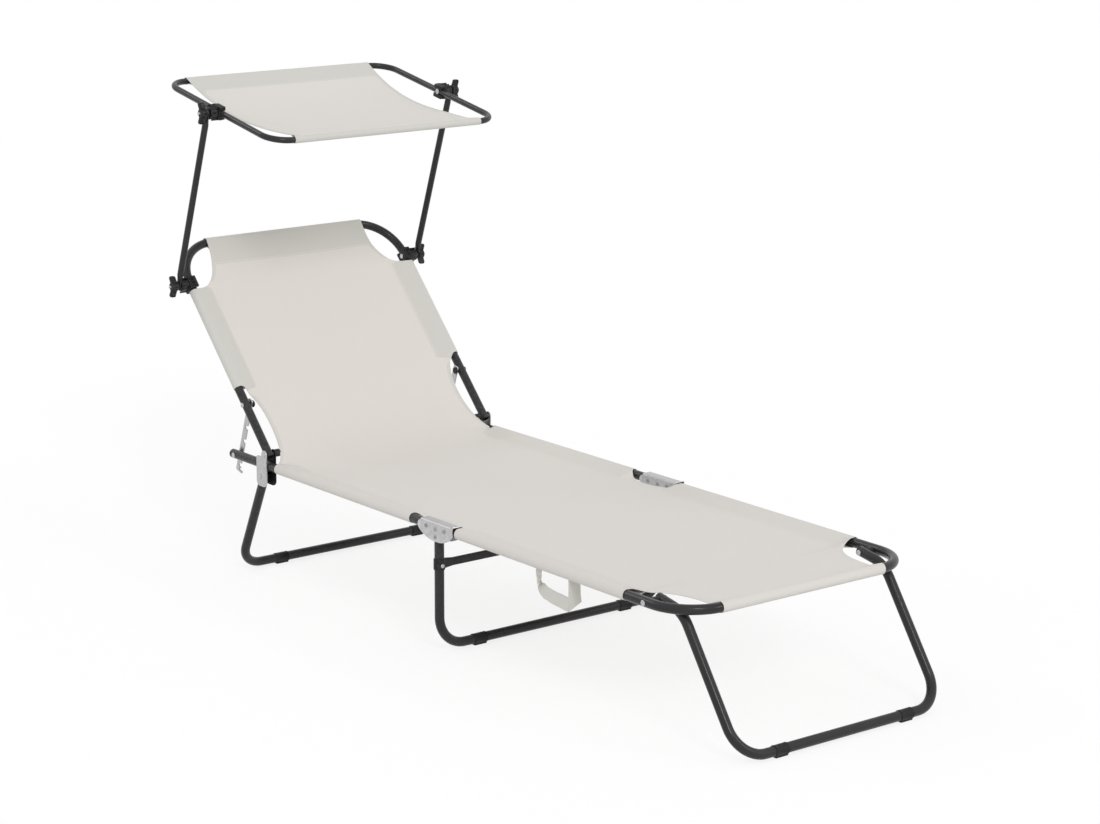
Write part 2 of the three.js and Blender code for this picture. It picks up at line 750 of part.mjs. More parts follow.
function canopySheet() {
  const frontY = -canopyHalfDepth;
  const backSeam = canopyHalfDepth - canopySeamIn;
  const frontSeam = frontY + canopySeamIn;
  const edge = [
    flat(canopyClothHalf, backSeam + overrun),
    ...hollowEdge(flat(canopyClothHalf, backSeam), flat(canopyClothHalf, frontSeam), canopyHollow),
    flat(canopyClothHalf, frontSeam - overrun),
  ];
  const outline = new THREE.Shape();
  const mirrored = edge.map((p) => new THREE.Vector2(-p.x, p.y)).reverse();
  outline.setFromPoints(edge.concat(mirrored));
  const height = canopySag + clothThick + overrun * 2;
  const cutter = new THREE.ExtrudeGeometry(outline, { depth: height, bevelEnabled: false });
  cutter.translate(0, 0, clothThick / 2 + overrun - height);
  const cloth = hangingCloth(frontSeam, backSeam).intersect(solidOf(cutter));
  const bars = [[canopyHalfDepth, -1], [frontY, 1]]
    .map(([y, inward]) => barSleeve(canopyClothHalf, y, inward, canopyR, canopySeamIn, 0));
  return joined([cloth, ...bars]);
}

// Folding hinge: an upturned channel over both rail ends, riveted to the middle leg's top
function hingeOutline() {
  const half = hingeLength / 2;
  const top = railR + runFit + cheekThick;
  const outline = new THREE.Shape();
  outline.moveTo(-half, top);
  outline.lineTo(-half, -hingeSide);
  const bulge = -hingeDrop * hingeBulgeShare;
  outline.quadraticCurveTo(-half + hingeSide, bulge, -hingeToe, -hingeDrop);
  outline.lineTo(hingeToe, -hingeDrop);
  outline.quadraticCurveTo(half - hingeSide, bulge, half, -hingeSide);
  outline.lineTo(half, top);
  return outline;
}

const hingeOuterIn = railX + railR + runFit;
const hingeInnerOut = railX - railR - runFit;
const midLegY = -(seatLength + midLegAhead);
const midLegTop = railR - legTopShort;
const legRivetDrops = [legRivetHigh, legRivetLow];

function hingePlate(side) {
  const outline = hingeOutline();
  const outer = uprightPlate(outline, side * hingeOuterIn, side * (hingeOuterIn + cheekThick));
  const inner = uprightPlate(outline, side * (hingeInnerOut - cheekThick), side * hingeInnerOut);
  const top = railR + runFit;
  const cheeks = outer.add(inner).translate([0, hingeY, deckHeight]);
  const strip = block(side * (hingeInnerOut - cheekThick), side * (hingeOuterIn + cheekThick),
    hingeY - hingeLength / 2, hingeY + hingeLength / 2, deckHeight + top, deckHeight + top + cheekThick);
  const rivets = legRivetDrops.map((drop) => rivetAcross(side, hingeInnerOut - cheekThick,
    hingeOuterIn + cheekThick, midLegY, deckHeight - drop));
  const reach = railR + runFit + cheekThick + overrun;
  const holes = [hingeY + hingeSpan / 2, hingeY - hingeSpan / 2]
    .map((y) => holeAcross(side * railX - reach, side * railX + reach, y, deckHeight));
  return without(joined([cheeks, strip, ...rivets]), holes);
}

function hingeRivet(side, y) {
  return rivetAcross(side, hingeInnerOut - cheekThick - fit, hingeOuterIn + cheekThick + fit, y, deckHeight);
}

// Middle leg, its flat brace and the collars that carry it
function midLeg() {
  const top = deckHeight + midLegTop;
  const corners = [at(-railX, midLegY, top), at(-railX, midLegY, floorGap), at(railX, midLegY, floorGap),
    at(railX, midLegY, top)];
  const leg = pipe(corners, [midLegCorner, midLegCorner], legR, tubeWall);
  const holes = sides.flatMap(([, side]) => legRivetDrops.map((drop) => holeAcross(
    side * railX - legDiameter, side * railX + legDiameter, midLegY, deckHeight - drop)));
  return without(leg, holes);
}

const braceZ = deckHeight - braceDrop;
const collarOuter = railX - collarRadius;

function midBrace() {
  const half = collarOuter - fit;
  return block(-half, half, midLegY - braceThick / 2, midLegY + braceThick / 2,
    braceZ - braceWidth / 2, braceZ + braceWidth / 2);
}

function uprightRod(x, y, z0, z1, radius) {
  const geometry = new THREE.CylinderGeometry(radius, radius, Math.abs(z1 - z0), tubeSides);
  geometry.rotateX(Math.PI / 2);
  geometry.translate(x, y, (z0 + z1) / 2);
  return solidOf(geometry);
}

function braceCollar(side) {
  const x = side * railX;
  const low = braceZ - collarLength / 2;
  const high = braceZ + collarLength / 2;
  const ear = block(side * (railX - legR - fit), side * collarOuter, midLegY - collarRadius / 2,
    midLegY + collarRadius / 2, low, high);
  const bore = uprightRod(x, midLegY, low - overrun, high + overrun, legR + fit);
  return without(uprightRod(x, midLegY, low, high, collarRadius).add(ear), [bore]);
}

// A plastic shoe round a leg's bar, cut flat where it stands
function shoe(x, y, z) {
  const half = shoeLength / 2;
  const body = rodAcross(x - half, x + half, y, z, shoeRadius, tubeSides * 2);
  const floor = block(x - shoeLength, x + shoeLength, y - shoeLength, y + shoeLength, z - floorGap - overrun,
    z - floorGap);
  const bore = rodAcross(x - shoeLength, x + shoeLength, y, z, legR + fit, tubeSides * 2);
  return without(body, [floor, bore]);
}

// Foot section

function footFrame() {
  const start = footHingeY + hingeEndRadius;
  const corners = [at(-railX, start, deckHeight), at(-railX, footBarY, deckHeight),
    at(railX, footBarY, deckHeight), at(railX, start, deckHeight)];
  const frame = pipe(corners, [footCorner, footCorner], railR, tubeWall);
  const keep = sides.map(([, side]) => roundedEnd(side * railX, footHingeY, deckHeight,
    footBarY - railDiameter, hingeEndRadius));
  const middle = block(-railX, railX, footHingeY - footLength / 2, footBarY - railDiameter,
    deckHeight - railDiameter, deckHeight + railDiameter);
  const reach = railR + overrun;
  const holes = sides.flatMap(([, side]) => [footHingeY, frontPivotY]
    .map((y) => holeAcross(side * railX - reach, side * railX + reach, y, deckHeight)));
  return without(frame.intersect(joined([...keep, middle])), holes);
}

// The carry handle's webbing hangs from the right side sleeve's underside
function carryHandle() {
  const half = strapThick / 2;
  const top = deckHeight - railR - fit * 2 - sleeveWall - half;
  const low = deckHeight - railR - strapDrop;
  const x = strapIn - railX;
  const start = footHingeY - strapStart;
  const end = start - strapSpan;
  const section = new THREE.Shape();
  const wide = strapWidth / 2;
  section.setFromPoints([flat(-half, -wide), flat(half, -wide), flat(half, wide), flat(-half, wide)]);
  const corners = [at(x, start + strapSlack, top), at(x, start, top),
    at(x, start - strapSlack, low + strapSlack), at(x, end + strapSlack, low),
    at(x, end, top), at(x, end - strapSlack, top)];
  const bends = [strapSlack / 2, strapSlack, strapSlack, strapSlack / 2];
  return swept(section, corners, bends);
}

// Front leg: drawn about its pivot, it runs under the corner bend and then down to the floor
function frontLeg() {
  const footRun = -(frontFootPast + frontPivotShort);
  const footDrop = floorGap - deckHeight;
  const tilt = frontKneeDrop / frontKneeRun;
  const top = (side) => at(side * frontLegOut, tubeEndRun, tubeEndRun * tilt);
  const knee = (side) => at(side * frontLegOut, -frontKneeRun, -frontKneeDrop);
  const foot = (side) => at(side * frontLegOut, footRun, footDrop);
  const corners = [top(-1), knee(-1), foot(-1), foot(1), knee(1), top(1)];
  const bends = [frontKneeCorner, frontLegCorner, frontLegCorner, frontKneeCorner];
  const leg = pipe(corners, bends, legR, tubeWall);
  const holes = sides.map(([, side]) => holeAcross(side * frontLegOut - legDiameter,
    side * frontLegOut + legDiameter, 0, 0));
  return without(leg, holes);
}

function frontLegPin(side) {
  const outer = railX + railR + fit;
  const inner = frontLegOut - legR - fit;
  const rivet = rivetAcross(side, inner, outer, frontPivotY, deckHeight);
  const spacer = rodAcross(side * (frontLegOut + legR + fit), side * (railX - railR - fit), frontPivotY,
    deckHeight, spacerRadius);
  return rivet.add(spacer);
}

// Rear leg: drawn about its pivot, hanging straight down
const rearDrop = deckHeight - rearPivotDrop - floorGap;
const rearRun = rearFootBack - rearPivotBack;
const rearLength = Math.hypot(rearDrop, rearRun);
const rearLean = THREE.MathUtils.radToDeg(Math.atan2(rearRun, rearDrop));

function rearLeg() {
  const top = (side) => at(side * railX, 0, tubeEndRun);
  const foot = (side) => at(side * railX, 0, -rearLength);
  const leg = pipe([top(-1), foot(-1), foot(1), top(1)], [rearLegCorner, rearLegCorner], legR, tubeWall);
  const holes = sides.map(([, side]) => holeAcross(side * railX - legDiameter,
    side * railX + legDiameter, 0, 0));
  return without(leg, holes);
}

// The whole lounger
const lounger = new THREE.Group();
const seatGroup = addGroup(lounger, 0, 0, 0);
for (const [name, side] of sides) {
  addPiece(seatGroup, `side_rail_${name}`, sideRail(side), 'steel');
  addPiece(seatGroup, `rack_pin_${name}`, rackPin(side), 'zinc');
  addPiece(seatGroup, `bracket_outer_${name}`, outerBracket(side), 'zinc');
  addPiece(seatGroup, `bracket_inner_${name}`, bracketPlate(side, false), 'plastic');
  addPiece(seatGroup, `back_pivot_bolt_${name}`, backPivotBolt(side), 'plastic');
  addPiece(seatGroup, `rear_leg_rivet_${name}`, rearLegPin(side), 'zinc');
  addPiece(seatGroup, `seat_hinge_rivet_${name}`, hingeRivet(side, -seatLength), 'zinc');
}
addPiece(seatGroup, 'seat_sheet', seatSheet(), 'fabric');

const backGroup = addGroup(lounger, 0, backPivotZ, backAngle);
const armGroup = addGroup(backGroup, clampAlong, 0, armAngle);
const canopyGroup = addGroup(armGroup, armLength, 0, canopyPitch - backAngle - armAngle);
addPiece(backGroup, 'back_frame', backFrame(), 'steel');
addPiece(backGroup, 'back_sheet', backSheet(), 'fabric');
addPiece(canopyGroup, 'canopy_front_tube', canopyTube(true), 'steel');
addPiece(canopyGroup, 'canopy_back_tube', canopyTube(false), 'steel');
addPiece(canopyGroup, 'canopy_sheet', canopySheet(), 'fabric');
for (const [name, side] of sides) {
  addPiece(backGroup, `rack_bolt_${name}`, rackBolt(side), 'zinc');
  addPiece(backGroup, `lower_clamp_${name}`, clampBlock(side, railX, backR, clampAlong), 'plastic');
  addPiece(backGroup, `lower_bolt_${name}`, clampBolt(side, railX, backR, clampAlong), 'zinc');
  const rackGroup = addGroup(backGroup, rackBoltAlong, 0, rackTilt());
  addPiece(rackGroup, `rack_${name}`, rackBar(side), 'zinc');
  addPiece(armGroup, `canopy_arm_${name}`, canopyArm(side), 'steel');
  addPiece(canopyGroup, `upper_clamp_${name}`, clampBlock(side, canopyX, canopyR, 0), 'plastic');
  addPiece(canopyGroup, `upper_bolt_${name}`, clampBolt(side, canopyX, canopyR, 0), 'zinc');
  const lowerKnob = addGroup(backGroup, clampAlong, 0, -backAngle);
  addPiece(lowerKnob, `lower_knob_${name}`, wingKnob(side), 'plastic');
  const upperKnob = addGroup(canopyGroup, 0, 0, -canopyPitch);
  addPiece(upperKnob, `upper_knob_${name}`, wingKnob(side), 'plastic');
}

const hingeGroup = addGroup(lounger, 0, 0, 0);
addPiece(hingeGroup, 'mid_leg', midLeg(), 'steel');
addPiece(hingeGroup, 'mid_leg_brace', midBrace(), 'steel');
const footGroup = addGroup(lounger, 0, 0, 0);
addPiece(footGroup, 'foot_frame', footFrame(), 'steel');
addPiece(footGroup, 'foot_sheet', footSheet(), 'fabric');
addPiece(footGroup, 'carry_handle', carryHandle(), 'webbing');
const frontGroup = addGroup(footGroup, frontPivotY, deckHeight, 0);
addPiece(frontGroup, 'front_leg', frontLeg(), 'steel');
const rearGroup = addGroup(lounger, rearPivotBack, deckHeight - rearPivotDrop, rearLean);
addPiece(rearGroup, 'rear_leg', rearLeg(), 'steel');
const rearShoes = addGroup(lounger, rearFootBack, floorGap, 0);
const frontShoes = addGroup(lounger, footBarY - frontFootPast, floorGap, 0);
for (const [name, side] of sides) {
  addPiece(hingeGroup, `hinge_plate_${name}`, hingePlate(side), 'zinc');
  addPiece(hingeGroup, `brace_collar_${name}`, braceCollar(side), 'plastic');
  addPiece(hingeGroup, `mid_shoe_${name}`, shoe(side * (railX - midShoeIn), midLegY, floorGap), 'plastic');
  addPiece(footGroup, `foot_hinge_rivet_${name}`, hingeRivet(side, footHingeY), 'zinc');
  addPiece(footGroup, `front_leg_rivet_${name}`, frontLegPin(side), 'zinc');
  addPiece(frontShoes, `front_shoe_${name}`, shoe(side * (frontLegOut - frontShoeIn), 0, 0), 'plastic');
  addPiece(rearShoes, `rear_shoe_${name}`, shoe(side * (railX - rearShoeIn), 0, 0), 'plastic');
}

// The origin is on the floor below the middle of the whole lounger
lounger.updateMatrixWorld(true);
const extent = new THREE.Box3().setFromObject(lounger, true);
lounger.position.set(-(extent.min.x + extent.max.x) / 2, -(extent.min.y + extent.max.y) / 2, -extent.min.z);
lounger.updateMatrixWorld(true);

export default lounger;
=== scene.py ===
# %% [markdown]
# # A folding sun lounger with a tilting canopy
# The imported model holds the sizes, the places and the joints of the lounger. This lesson dresses it.
# Each tube, plate, clamp and cloth is modelled again, in the same place, with a finer shape and a
# finish of its own. The first step loads that model, with a helper that measures a part's box.

# %% Load the imported model
import json
import math

import bmesh
import bpy
from mathutils import Matrix, Vector


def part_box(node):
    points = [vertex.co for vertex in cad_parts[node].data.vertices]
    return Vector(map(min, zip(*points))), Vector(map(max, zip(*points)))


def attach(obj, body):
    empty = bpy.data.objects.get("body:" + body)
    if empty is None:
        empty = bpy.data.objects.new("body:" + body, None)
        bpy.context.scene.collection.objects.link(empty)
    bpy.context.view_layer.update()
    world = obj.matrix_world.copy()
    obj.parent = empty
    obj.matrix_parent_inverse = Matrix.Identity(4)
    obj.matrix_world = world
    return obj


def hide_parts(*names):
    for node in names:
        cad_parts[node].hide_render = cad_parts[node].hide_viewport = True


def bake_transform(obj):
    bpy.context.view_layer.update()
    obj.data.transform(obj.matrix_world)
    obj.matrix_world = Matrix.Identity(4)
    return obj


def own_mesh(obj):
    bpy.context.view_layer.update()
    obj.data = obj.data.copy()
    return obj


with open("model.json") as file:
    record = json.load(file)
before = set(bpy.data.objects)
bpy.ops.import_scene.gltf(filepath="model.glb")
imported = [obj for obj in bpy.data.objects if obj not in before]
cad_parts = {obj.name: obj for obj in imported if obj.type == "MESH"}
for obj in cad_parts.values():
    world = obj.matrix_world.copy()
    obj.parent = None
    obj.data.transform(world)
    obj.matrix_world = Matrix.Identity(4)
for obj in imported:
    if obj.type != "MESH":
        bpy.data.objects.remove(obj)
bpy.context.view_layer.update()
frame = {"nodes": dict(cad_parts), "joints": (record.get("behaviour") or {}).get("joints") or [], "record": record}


# %% [markdown]
# ## The camera
# The camera stands beyond the foot end on the sitter's right, a little above the canopy, and looks
# down along the lounger. A long lens keeps the far rail nearly parallel to the near one. The
# rotation is built from three axes, which is easier to check than three angles that turn in order.

# %% Set up the camera
MM = 0.001
EYE = Vector((-3526.7, -4497.2, 1785.9)) * MM
TURN = math.radians(-38.417)
DIP = math.radians(13.372)
ROLL = math.radians(0.262)
SENSOR_WIDTH = 36
PICTURE_WIDTH = 1100
FOCAL_PIXELS = 2973.8

look = Vector((-math.sin(TURN) * math.cos(DIP), math.cos(TURN) * math.cos(DIP), -math.sin(DIP)))
level = Vector((math.cos(TURN), math.sin(TURN), 0))
upward = level.cross(look)
camera_right = level * math.cos(ROLL) + upward * math.sin(ROLL)
camera_up = upward * math.cos(ROLL) - level * math.sin(ROLL)

camera_data = bpy.data.cameras.new("camera")
camera_data.sensor_width = SENSOR_WIDTH
camera_data.lens = FOCAL_PIXELS * SENSOR_WIDTH / PICTURE_WIDTH
camera = bpy.data.objects.new("camera", camera_data)
camera_axes = Matrix((camera_right, camera_up, -look)).transposed().to_4x4()
camera.matrix_world = Matrix.Translation(EYE) @ camera_axes
bpy.context.scene.collection.objects.link(camera)
bpy.context.scene.camera = camera
print("Lens", round(camera_data.lens, 1), "mm")

# %% [markdown]
# ## Measuring the frame
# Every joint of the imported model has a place, and every part has a box. The lounger is dressed from
# these, so a change of the model carries through. Lengths are in metres, written as millimetres.

# %% Read the joints and the rails
joint_at = {joint["name"]: Vector(joint["pos_m"]) for joint in frame["joints"]}
BACK_PIVOT = joint_at["backrest_tilt"]
ARM_PIVOT = joint_at["canopy_arm_swing"]
CANOPY_PIVOT = joint_at["canopy_tilt"]
SEAT_HINGE = joint_at["mid_hinge_fold"]
FOOT_HINGE = joint_at["foot_fold"]
FRONT_PIVOT = joint_at["front_leg_fold"]
REAR_PIVOT = joint_at["rear_leg_fold"]
SIDES = (("right", -1), ("left", 1))


def middle(node):
    low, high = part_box(node)
    return (low + high) / 2


def size(node):
    low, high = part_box(node)
    return high - low


RAIL_X = middle("side_rail_left").x
RAIL_R = size("side_rail_left").x / 2
DECK_Z = middle("side_rail_left").z
STUB_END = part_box("side_rail_left")[1].y
FOOT_BAR_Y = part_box("foot_frame")[0].y + RAIL_R
MID_LEG_Y = middle("mid_leg").y
FLOOR_GAP = 12 * MM
print("Rails", round(RAIL_X * 2, 4), "m apart, their tubes", round(RAIL_R * 2, 4), "m thick")

# %% [markdown]
# The backrest, the canopy and the legs lean, and each is drawn in a frame of its own where its tubes
# run straight along an axis. A frame is a matrix: a turn about the X axis, then a move to its pivot.

# %% Make the leaning frames
def leaning(pivot, angle):
    return Matrix.Translation(pivot) @ Matrix.Rotation(angle, 4, "X")


def rise_of(start, end):
    return math.atan2(end.z - start.z, end.y - start.y)


CANOPY_PITCH = math.radians(10.7)
BACK_ANGLE = rise_of(BACK_PIVOT, ARM_PIVOT)
CLAMP_ALONG = (ARM_PIVOT - BACK_PIVOT).length
ARM_LENGTH = (CANOPY_PIVOT - ARM_PIVOT).length
back_frame = leaning(BACK_PIVOT, BACK_ANGLE)
arm_frame = leaning(ARM_PIVOT, rise_of(ARM_PIVOT, CANOPY_PIVOT))
canopy_frame = leaning(CANOPY_PIVOT, CANOPY_PITCH)
rear_foot = Vector((0, middle("rear_shoe_left").y, FLOOR_GAP))
rear_frame = leaning(REAR_PIVOT, rise_of(REAR_PIVOT, rear_foot) + math.pi / 2)
REAR_LENGTH = (rear_foot - REAR_PIVOT).length
FRONT_FOOT_Y = middle("front_shoe_left").y
print("The backrest stands at", round(math.degrees(BACK_ANGLE), 1), "degrees")

# %% [markdown]
# ## Finishes
# ### Shared effects
# Paint, zinc, plastic and cloth all vary a little over their surface. Each effect is a node group with
# named inputs, made once and placed in every material with its own numbers. A group is handed
# positions and puts out masks or heights, and the shader itself stays in the material. A few helpers
# come first, which make a node and fill its inputs with numbers or with links.

# %% Helpers for nodes
def feed(tree, socket, value):
    """Link value to socket where it is a socket itself, and otherwise set it there."""
    if isinstance(value, bpy.types.NodeSocket):
        tree.links.new(value, socket)
    elif value is not None:
        socket.default_value = value


def add_node(tree, kind, inputs, group=None):
    node = tree.nodes.new(kind)
    if group:
        node.node_tree = group
    for title, value in inputs.items():
        feed(tree, node.inputs[title], value)
    return node


def add_math(tree, operation, first, second=None, clamp=False):
    node = tree.nodes.new("ShaderNodeMath")
    node.operation = operation
    node.use_clamp = clamp
    for socket, value in zip(node.inputs, (first, second)):
        feed(tree, socket, value)
    return node.outputs[0]


def add_noise(tree, vector, scale, detail, roughness=0.5):
    inputs = {"Vector": vector, "Scale": scale, "Detail": detail, "Roughness": roughness}
    return add_node(tree, "ShaderNodeTexNoise", inputs).outputs["Fac"]


def map_range(tree, value, low, high, out_low=0.0, out_high=1.0):
    inputs = {"Value": value, "From Min": low, "From Max": high, "To Min": out_low, "To Max": out_high}
    return add_node(tree, "ShaderNodeMapRange", inputs).outputs["Result"]


def new_group(name, place, numbers, outputs):
    """A node group with a position, some numbers with their defaults, and the numbers it puts out."""
    group = bpy.data.node_groups.new(name, "ShaderNodeTree")
    group.interface.new_socket(place, in_out="INPUT", socket_type="NodeSocketVector")
    for title, number in numbers.items():
        socket = group.interface.new_socket(title, in_out="INPUT", socket_type="NodeSocketFloat")
        socket.default_value = number
    for title in outputs:
        group.interface.new_socket(title, in_out="OUTPUT", socket_type="NodeSocketFloat")
    given = group.nodes.new("NodeGroupInput").outputs
    result = group.nodes.new("NodeGroupOutput").inputs
    return group, given, result


# %% [markdown]
# Powder paint and moulded plastic share a fine pebbled skin, and both gather a little dust and handling
# marks in broad, soft patches. One group makes the skin from two sizes of noise and the patches from a
# third.

# %% The skin group
FINER = 2.6
FINE_SHARE = 0.4
PATCH_RANGE = (0.36, 0.66)


def make_skin_group():
    group, given, result = new_group(
        "pebbled_skin", "Position", {"Pebble Scale": 900.0, "Patch Scale": 7.0}, ("Height", "Patches"))
    coarse = add_noise(group, given["Position"], given["Pebble Scale"], 2.0)
    fine_scale = add_math(group, "MULTIPLY", given["Pebble Scale"], FINER)
    fine = add_noise(group, given["Position"], fine_scale, 1.0)
    height = add_math(group, "ADD", coarse, add_math(group, "MULTIPLY", fine, FINE_SHARE))
    patches = add_noise(group, given["Position"], given["Patch Scale"], 4.0, 0.6)
    feed(group, result["Height"], height)
    feed(group, result["Patches"], map_range(group, patches, *PATCH_RANGE))
    return group


skin_group = make_skin_group()
print("Made group", skin_group.name)

# %% [markdown]
# Paint wears first where a part is handled, along its sharp edges. Pointiness tells how sharply the
# surface turns at a point. Noise breaks the worn line up, so that it doesn't look drawn.

# %% The edge wear group
SHARP_RANGE = (0.53, 0.62)
BREAK_SCALE = 160.0
BREAK_RANGE = (0.42, 0.62)


def make_edge_group():
    group, given, result = new_group("edge_wear", "Position", {"Amount": 0.5}, ("Mask",))
    geometry = group.nodes.new("ShaderNodeNewGeometry")
    edge = map_range(group, geometry.outputs["Pointiness"], *SHARP_RANGE)
    broken = map_range(group, add_noise(group, given["Position"], BREAK_SCALE, 4.0), *BREAK_RANGE)
    worn = add_math(group, "MULTIPLY", edge, broken)
    feed(group, result["Mask"], add_math(group, "MULTIPLY", worn, given["Amount"], clamp=True))
    return group


edge_group = make_edge_group()
print("Made group", edge_group.name)

# %% [markdown]
# Hot-dipped zinc freezes in crystals a few millimetres wide, each a slightly different grey. A Voronoi
# texture gives cells like these, and its random cell colour gives each one its own grey.

# %% The zinc crystal group
SCRATCH_SCALE = 700.0
STEP_SHARE = 0.3


def make_spangle_group():
    group, given, result = new_group(
        "zinc_spangle", "Position", {"Crystal Scale": 260.0}, ("Crystals", "Height"))
    inputs = {"Vector": given["Position"], "Scale": given["Crystal Scale"]}
    cells = add_node(group, "ShaderNodeTexVoronoi", inputs)
    split = add_node(group, "ShaderNodeSeparateColor", {"Color": cells.outputs["Color"]})
    steps = add_math(group, "MULTIPLY", split.outputs["Green"], STEP_SHARE)
    scratches = add_noise(group, given["Position"], SCRATCH_SCALE, 2.0)
    feed(group, result["Crystals"], split.outputs["Red"])
    feed(group, result["Height"], add_math(group, "ADD", steps, scratches))
    return group


spangle_group = make_spangle_group()
print("Made group", spangle_group.name)

# %% [markdown]
# The sling cloth is a plain weave: threads go over and under one another by turns. Two sine waves, one
# along the cloth and one across it, make the thread crests, and a checkerboard tells which one is on
# top. The cloth's own UV map holds metres, so the threads keep their size round a tube. Slubs, the
# thicker stretches of a thread, come from noise that is drawn out along the cloth.

# %% The weave group
SLUB_STRETCH = (420.0, 9.0, 1.0)


def make_weave_group():
    group, given, result = new_group("plain_weave", "Cloth", {"Threads": 1000.0}, ("Height", "Slub"))
    scaled = group.nodes.new("ShaderNodeVectorMath")
    scaled.operation = "SCALE"
    feed(group, scaled.inputs[0], given["Cloth"])
    feed(group, scaled.inputs["Scale"], given["Threads"])
    split = add_node(group, "ShaderNodeSeparateXYZ", {"Vector": scaled.outputs["Vector"]})

    def crest(value):
        wave = add_math(group, "SINE", add_math(group, "MULTIPLY", value, math.pi))
        return add_math(group, "ABSOLUTE", wave)

    checker = add_node(group, "ShaderNodeTexChecker", {"Vector": scaled.outputs["Vector"], "Scale": 1.0})
    warp_up = checker.outputs["Fac"]
    weft_up = add_math(group, "SUBTRACT", 1.0, warp_up)
    over = add_math(group, "MULTIPLY", crest(split.outputs["X"]), warp_up)
    under = add_math(group, "MULTIPLY", crest(split.outputs["Y"]), weft_up)
    drawn_out = add_node(group, "ShaderNodeMapping", {"Vector": given["Cloth"], "Scale": SLUB_STRETCH})
    feed(group, result["Height"], add_math(group, "ADD", over, under))
    feed(group, result["Slub"], add_noise(group, drawn_out.outputs["Vector"], 1.0, 2.0))
    return group


weave_group = make_weave_group()
print("Made group", weave_group.name)

# %% [markdown]
# The seams are stitched. Each point of the cloth carries its distance past the nearest seam, so a stitch
# row is wherever that distance has one value. The position along the row decides where a stitch starts
# and ends.

# %% The stitch group
STITCH_WIDTH = 0.7 * MM
STITCH_SHARE = 0.72
STITCH_RANGE = (0.2, 0.5)


def make_stitch_group():
    numbers = {"Past Seam": 0.0, "Offset": 0.003, "Pitch": 0.0042}
    group, given, result = new_group("stitch_row", "Cloth", numbers, ("Mask", "Height"))
    split = add_node(group, "ShaderNodeSeparateXYZ", {"Vector": given["Cloth"]})
    along = add_math(group, "ADD", split.outputs["X"], split.outputs["Y"])
    beat = add_math(group, "FRACT", add_math(group, "DIVIDE", along, given["Pitch"]))
    off_line = add_math(group, "SUBTRACT", given["Past Seam"], given["Offset"])
    thread = map_range(group, add_math(group, "ABSOLUTE", off_line), 0.0, STITCH_WIDTH, 1.0, 0.0)
    stitch = add_math(group, "MULTIPLY", thread, add_math(group, "LESS_THAN", beat, STITCH_SHARE))
    feed(group, result["Mask"], map_range(group, stitch, *STITCH_RANGE))
    feed(group, result["Height"], stitch)
    return group


stitch_group = make_stitch_group()
print("Made group", stitch_group.name)

# %% [markdown]
# ### The materials
# Each material is a Principled BSDF with its plain numbers set on its own sockets. Only what changes
# over the surface is linked: a colour mixed by a mask, a roughness and a bump.

# %% Helpers for materials
COAT_ROUGHNESS = 0.15
SHEEN_ROUGHNESS = 0.5


def new_material(name, metallic=0.0, specular=0.5, coat=0.0, sheen=0.0):
    material = bpy.data.materials.new(name)
    material.use_nodes = True
    shader = material.node_tree.nodes["Principled BSDF"]
    plain = {"Metallic": metallic, "Specular IOR Level": specular, "Coat Weight": coat,
             "Coat Roughness": COAT_ROUGHNESS, "Sheen Weight": sheen, "Sheen Roughness": SHEEN_ROUGHNESS}
    for title, number in plain.items():
        shader.inputs[title].default_value = number
    return material, material.node_tree, shader


def add_group(tree, group, inputs):
    return add_node(tree, "ShaderNodeGroup", inputs, group).outputs


def object_position(tree):
    return tree.nodes.new("ShaderNodeTexCoord").outputs["Object"]


def blend_colours(tree, factor, first, second):
    mix = tree.nodes.new("ShaderNodeMix")
    mix.data_type = "RGBA"
    feed(tree, mix.inputs["Factor"], factor)
    for title, colour in (("A", first), ("B", second)):
        feed(tree, mix.inputs[title], (*colour, 1.0) if isinstance(colour, tuple) else colour)
    return mix.outputs["Result"]


def add_bump(tree, shader, height, strength, depth):
    bump = add_node(tree, "ShaderNodeBump", {"Height": height, "Strength": strength, "Distance": depth})
    feed(tree, shader.inputs["Normal"], bump.outputs["Normal"])


# %% [markdown]
# The tubes are powder coated in charcoal. The coat is baked on, so it is a little glossy over a fine
# orange peel. Handling rubs a few edges lighter, and dust takes some gloss away in patches. Moulded
# plastic is built the same way with other numbers, so one function makes both.

# %% The painted steel
SKIN_DEPTH = 0.2 * MM


def make_skinned(name, colours, roughness, pebbles, patches, wear, bump, specular, coat=0.0):
    """Paint or plastic in two close colours and a third that shows on worn edges."""
    material, tree, shader = new_material(name, specular=specular, coat=coat)
    place = object_position(tree)
    skin = add_group(tree, skin_group, {"Position": place, "Pebble Scale": pebbles, "Patch Scale": patches})
    rubbed = add_group(tree, edge_group, {"Position": place, "Amount": wear})
    body = blend_colours(tree, skin["Patches"], colours[0], colours[1])
    feed(tree, shader.inputs["Base Color"], blend_colours(tree, rubbed["Mask"], body, colours[2]))
    feed(tree, shader.inputs["Roughness"], map_range(tree, skin["Patches"], 0.0, 1.0, *roughness))
    add_bump(tree, shader, skin["Height"], bump, SKIN_DEPTH)
    return material


painted_steel = make_skinned(
    "painted_steel", colours=((0.022, 0.021, 0.022), (0.030, 0.028, 0.029), (0.12, 0.115, 0.115)),
    roughness=(0.26, 0.36), pebbles=620.0, patches=9.0, wear=0.5, bump=0.08, specular=0.19, coat=0.14)
print("Made", painted_steel.name)

# %% [markdown]
# The plates, racks and rivets are galvanised, so they are metal all through. Crystals change the
# brightness from place to place, and fine scratches from the press spread the reflections. The rivets of
# the hinges get the same finish in a darker grey.

# %% The galvanised steel
ZINC_RUBBED = (0.74, 0.74, 0.75)
ZINC_ROUGHNESS = (0.34, 0.5)
ZINC_BUMP = 0.08


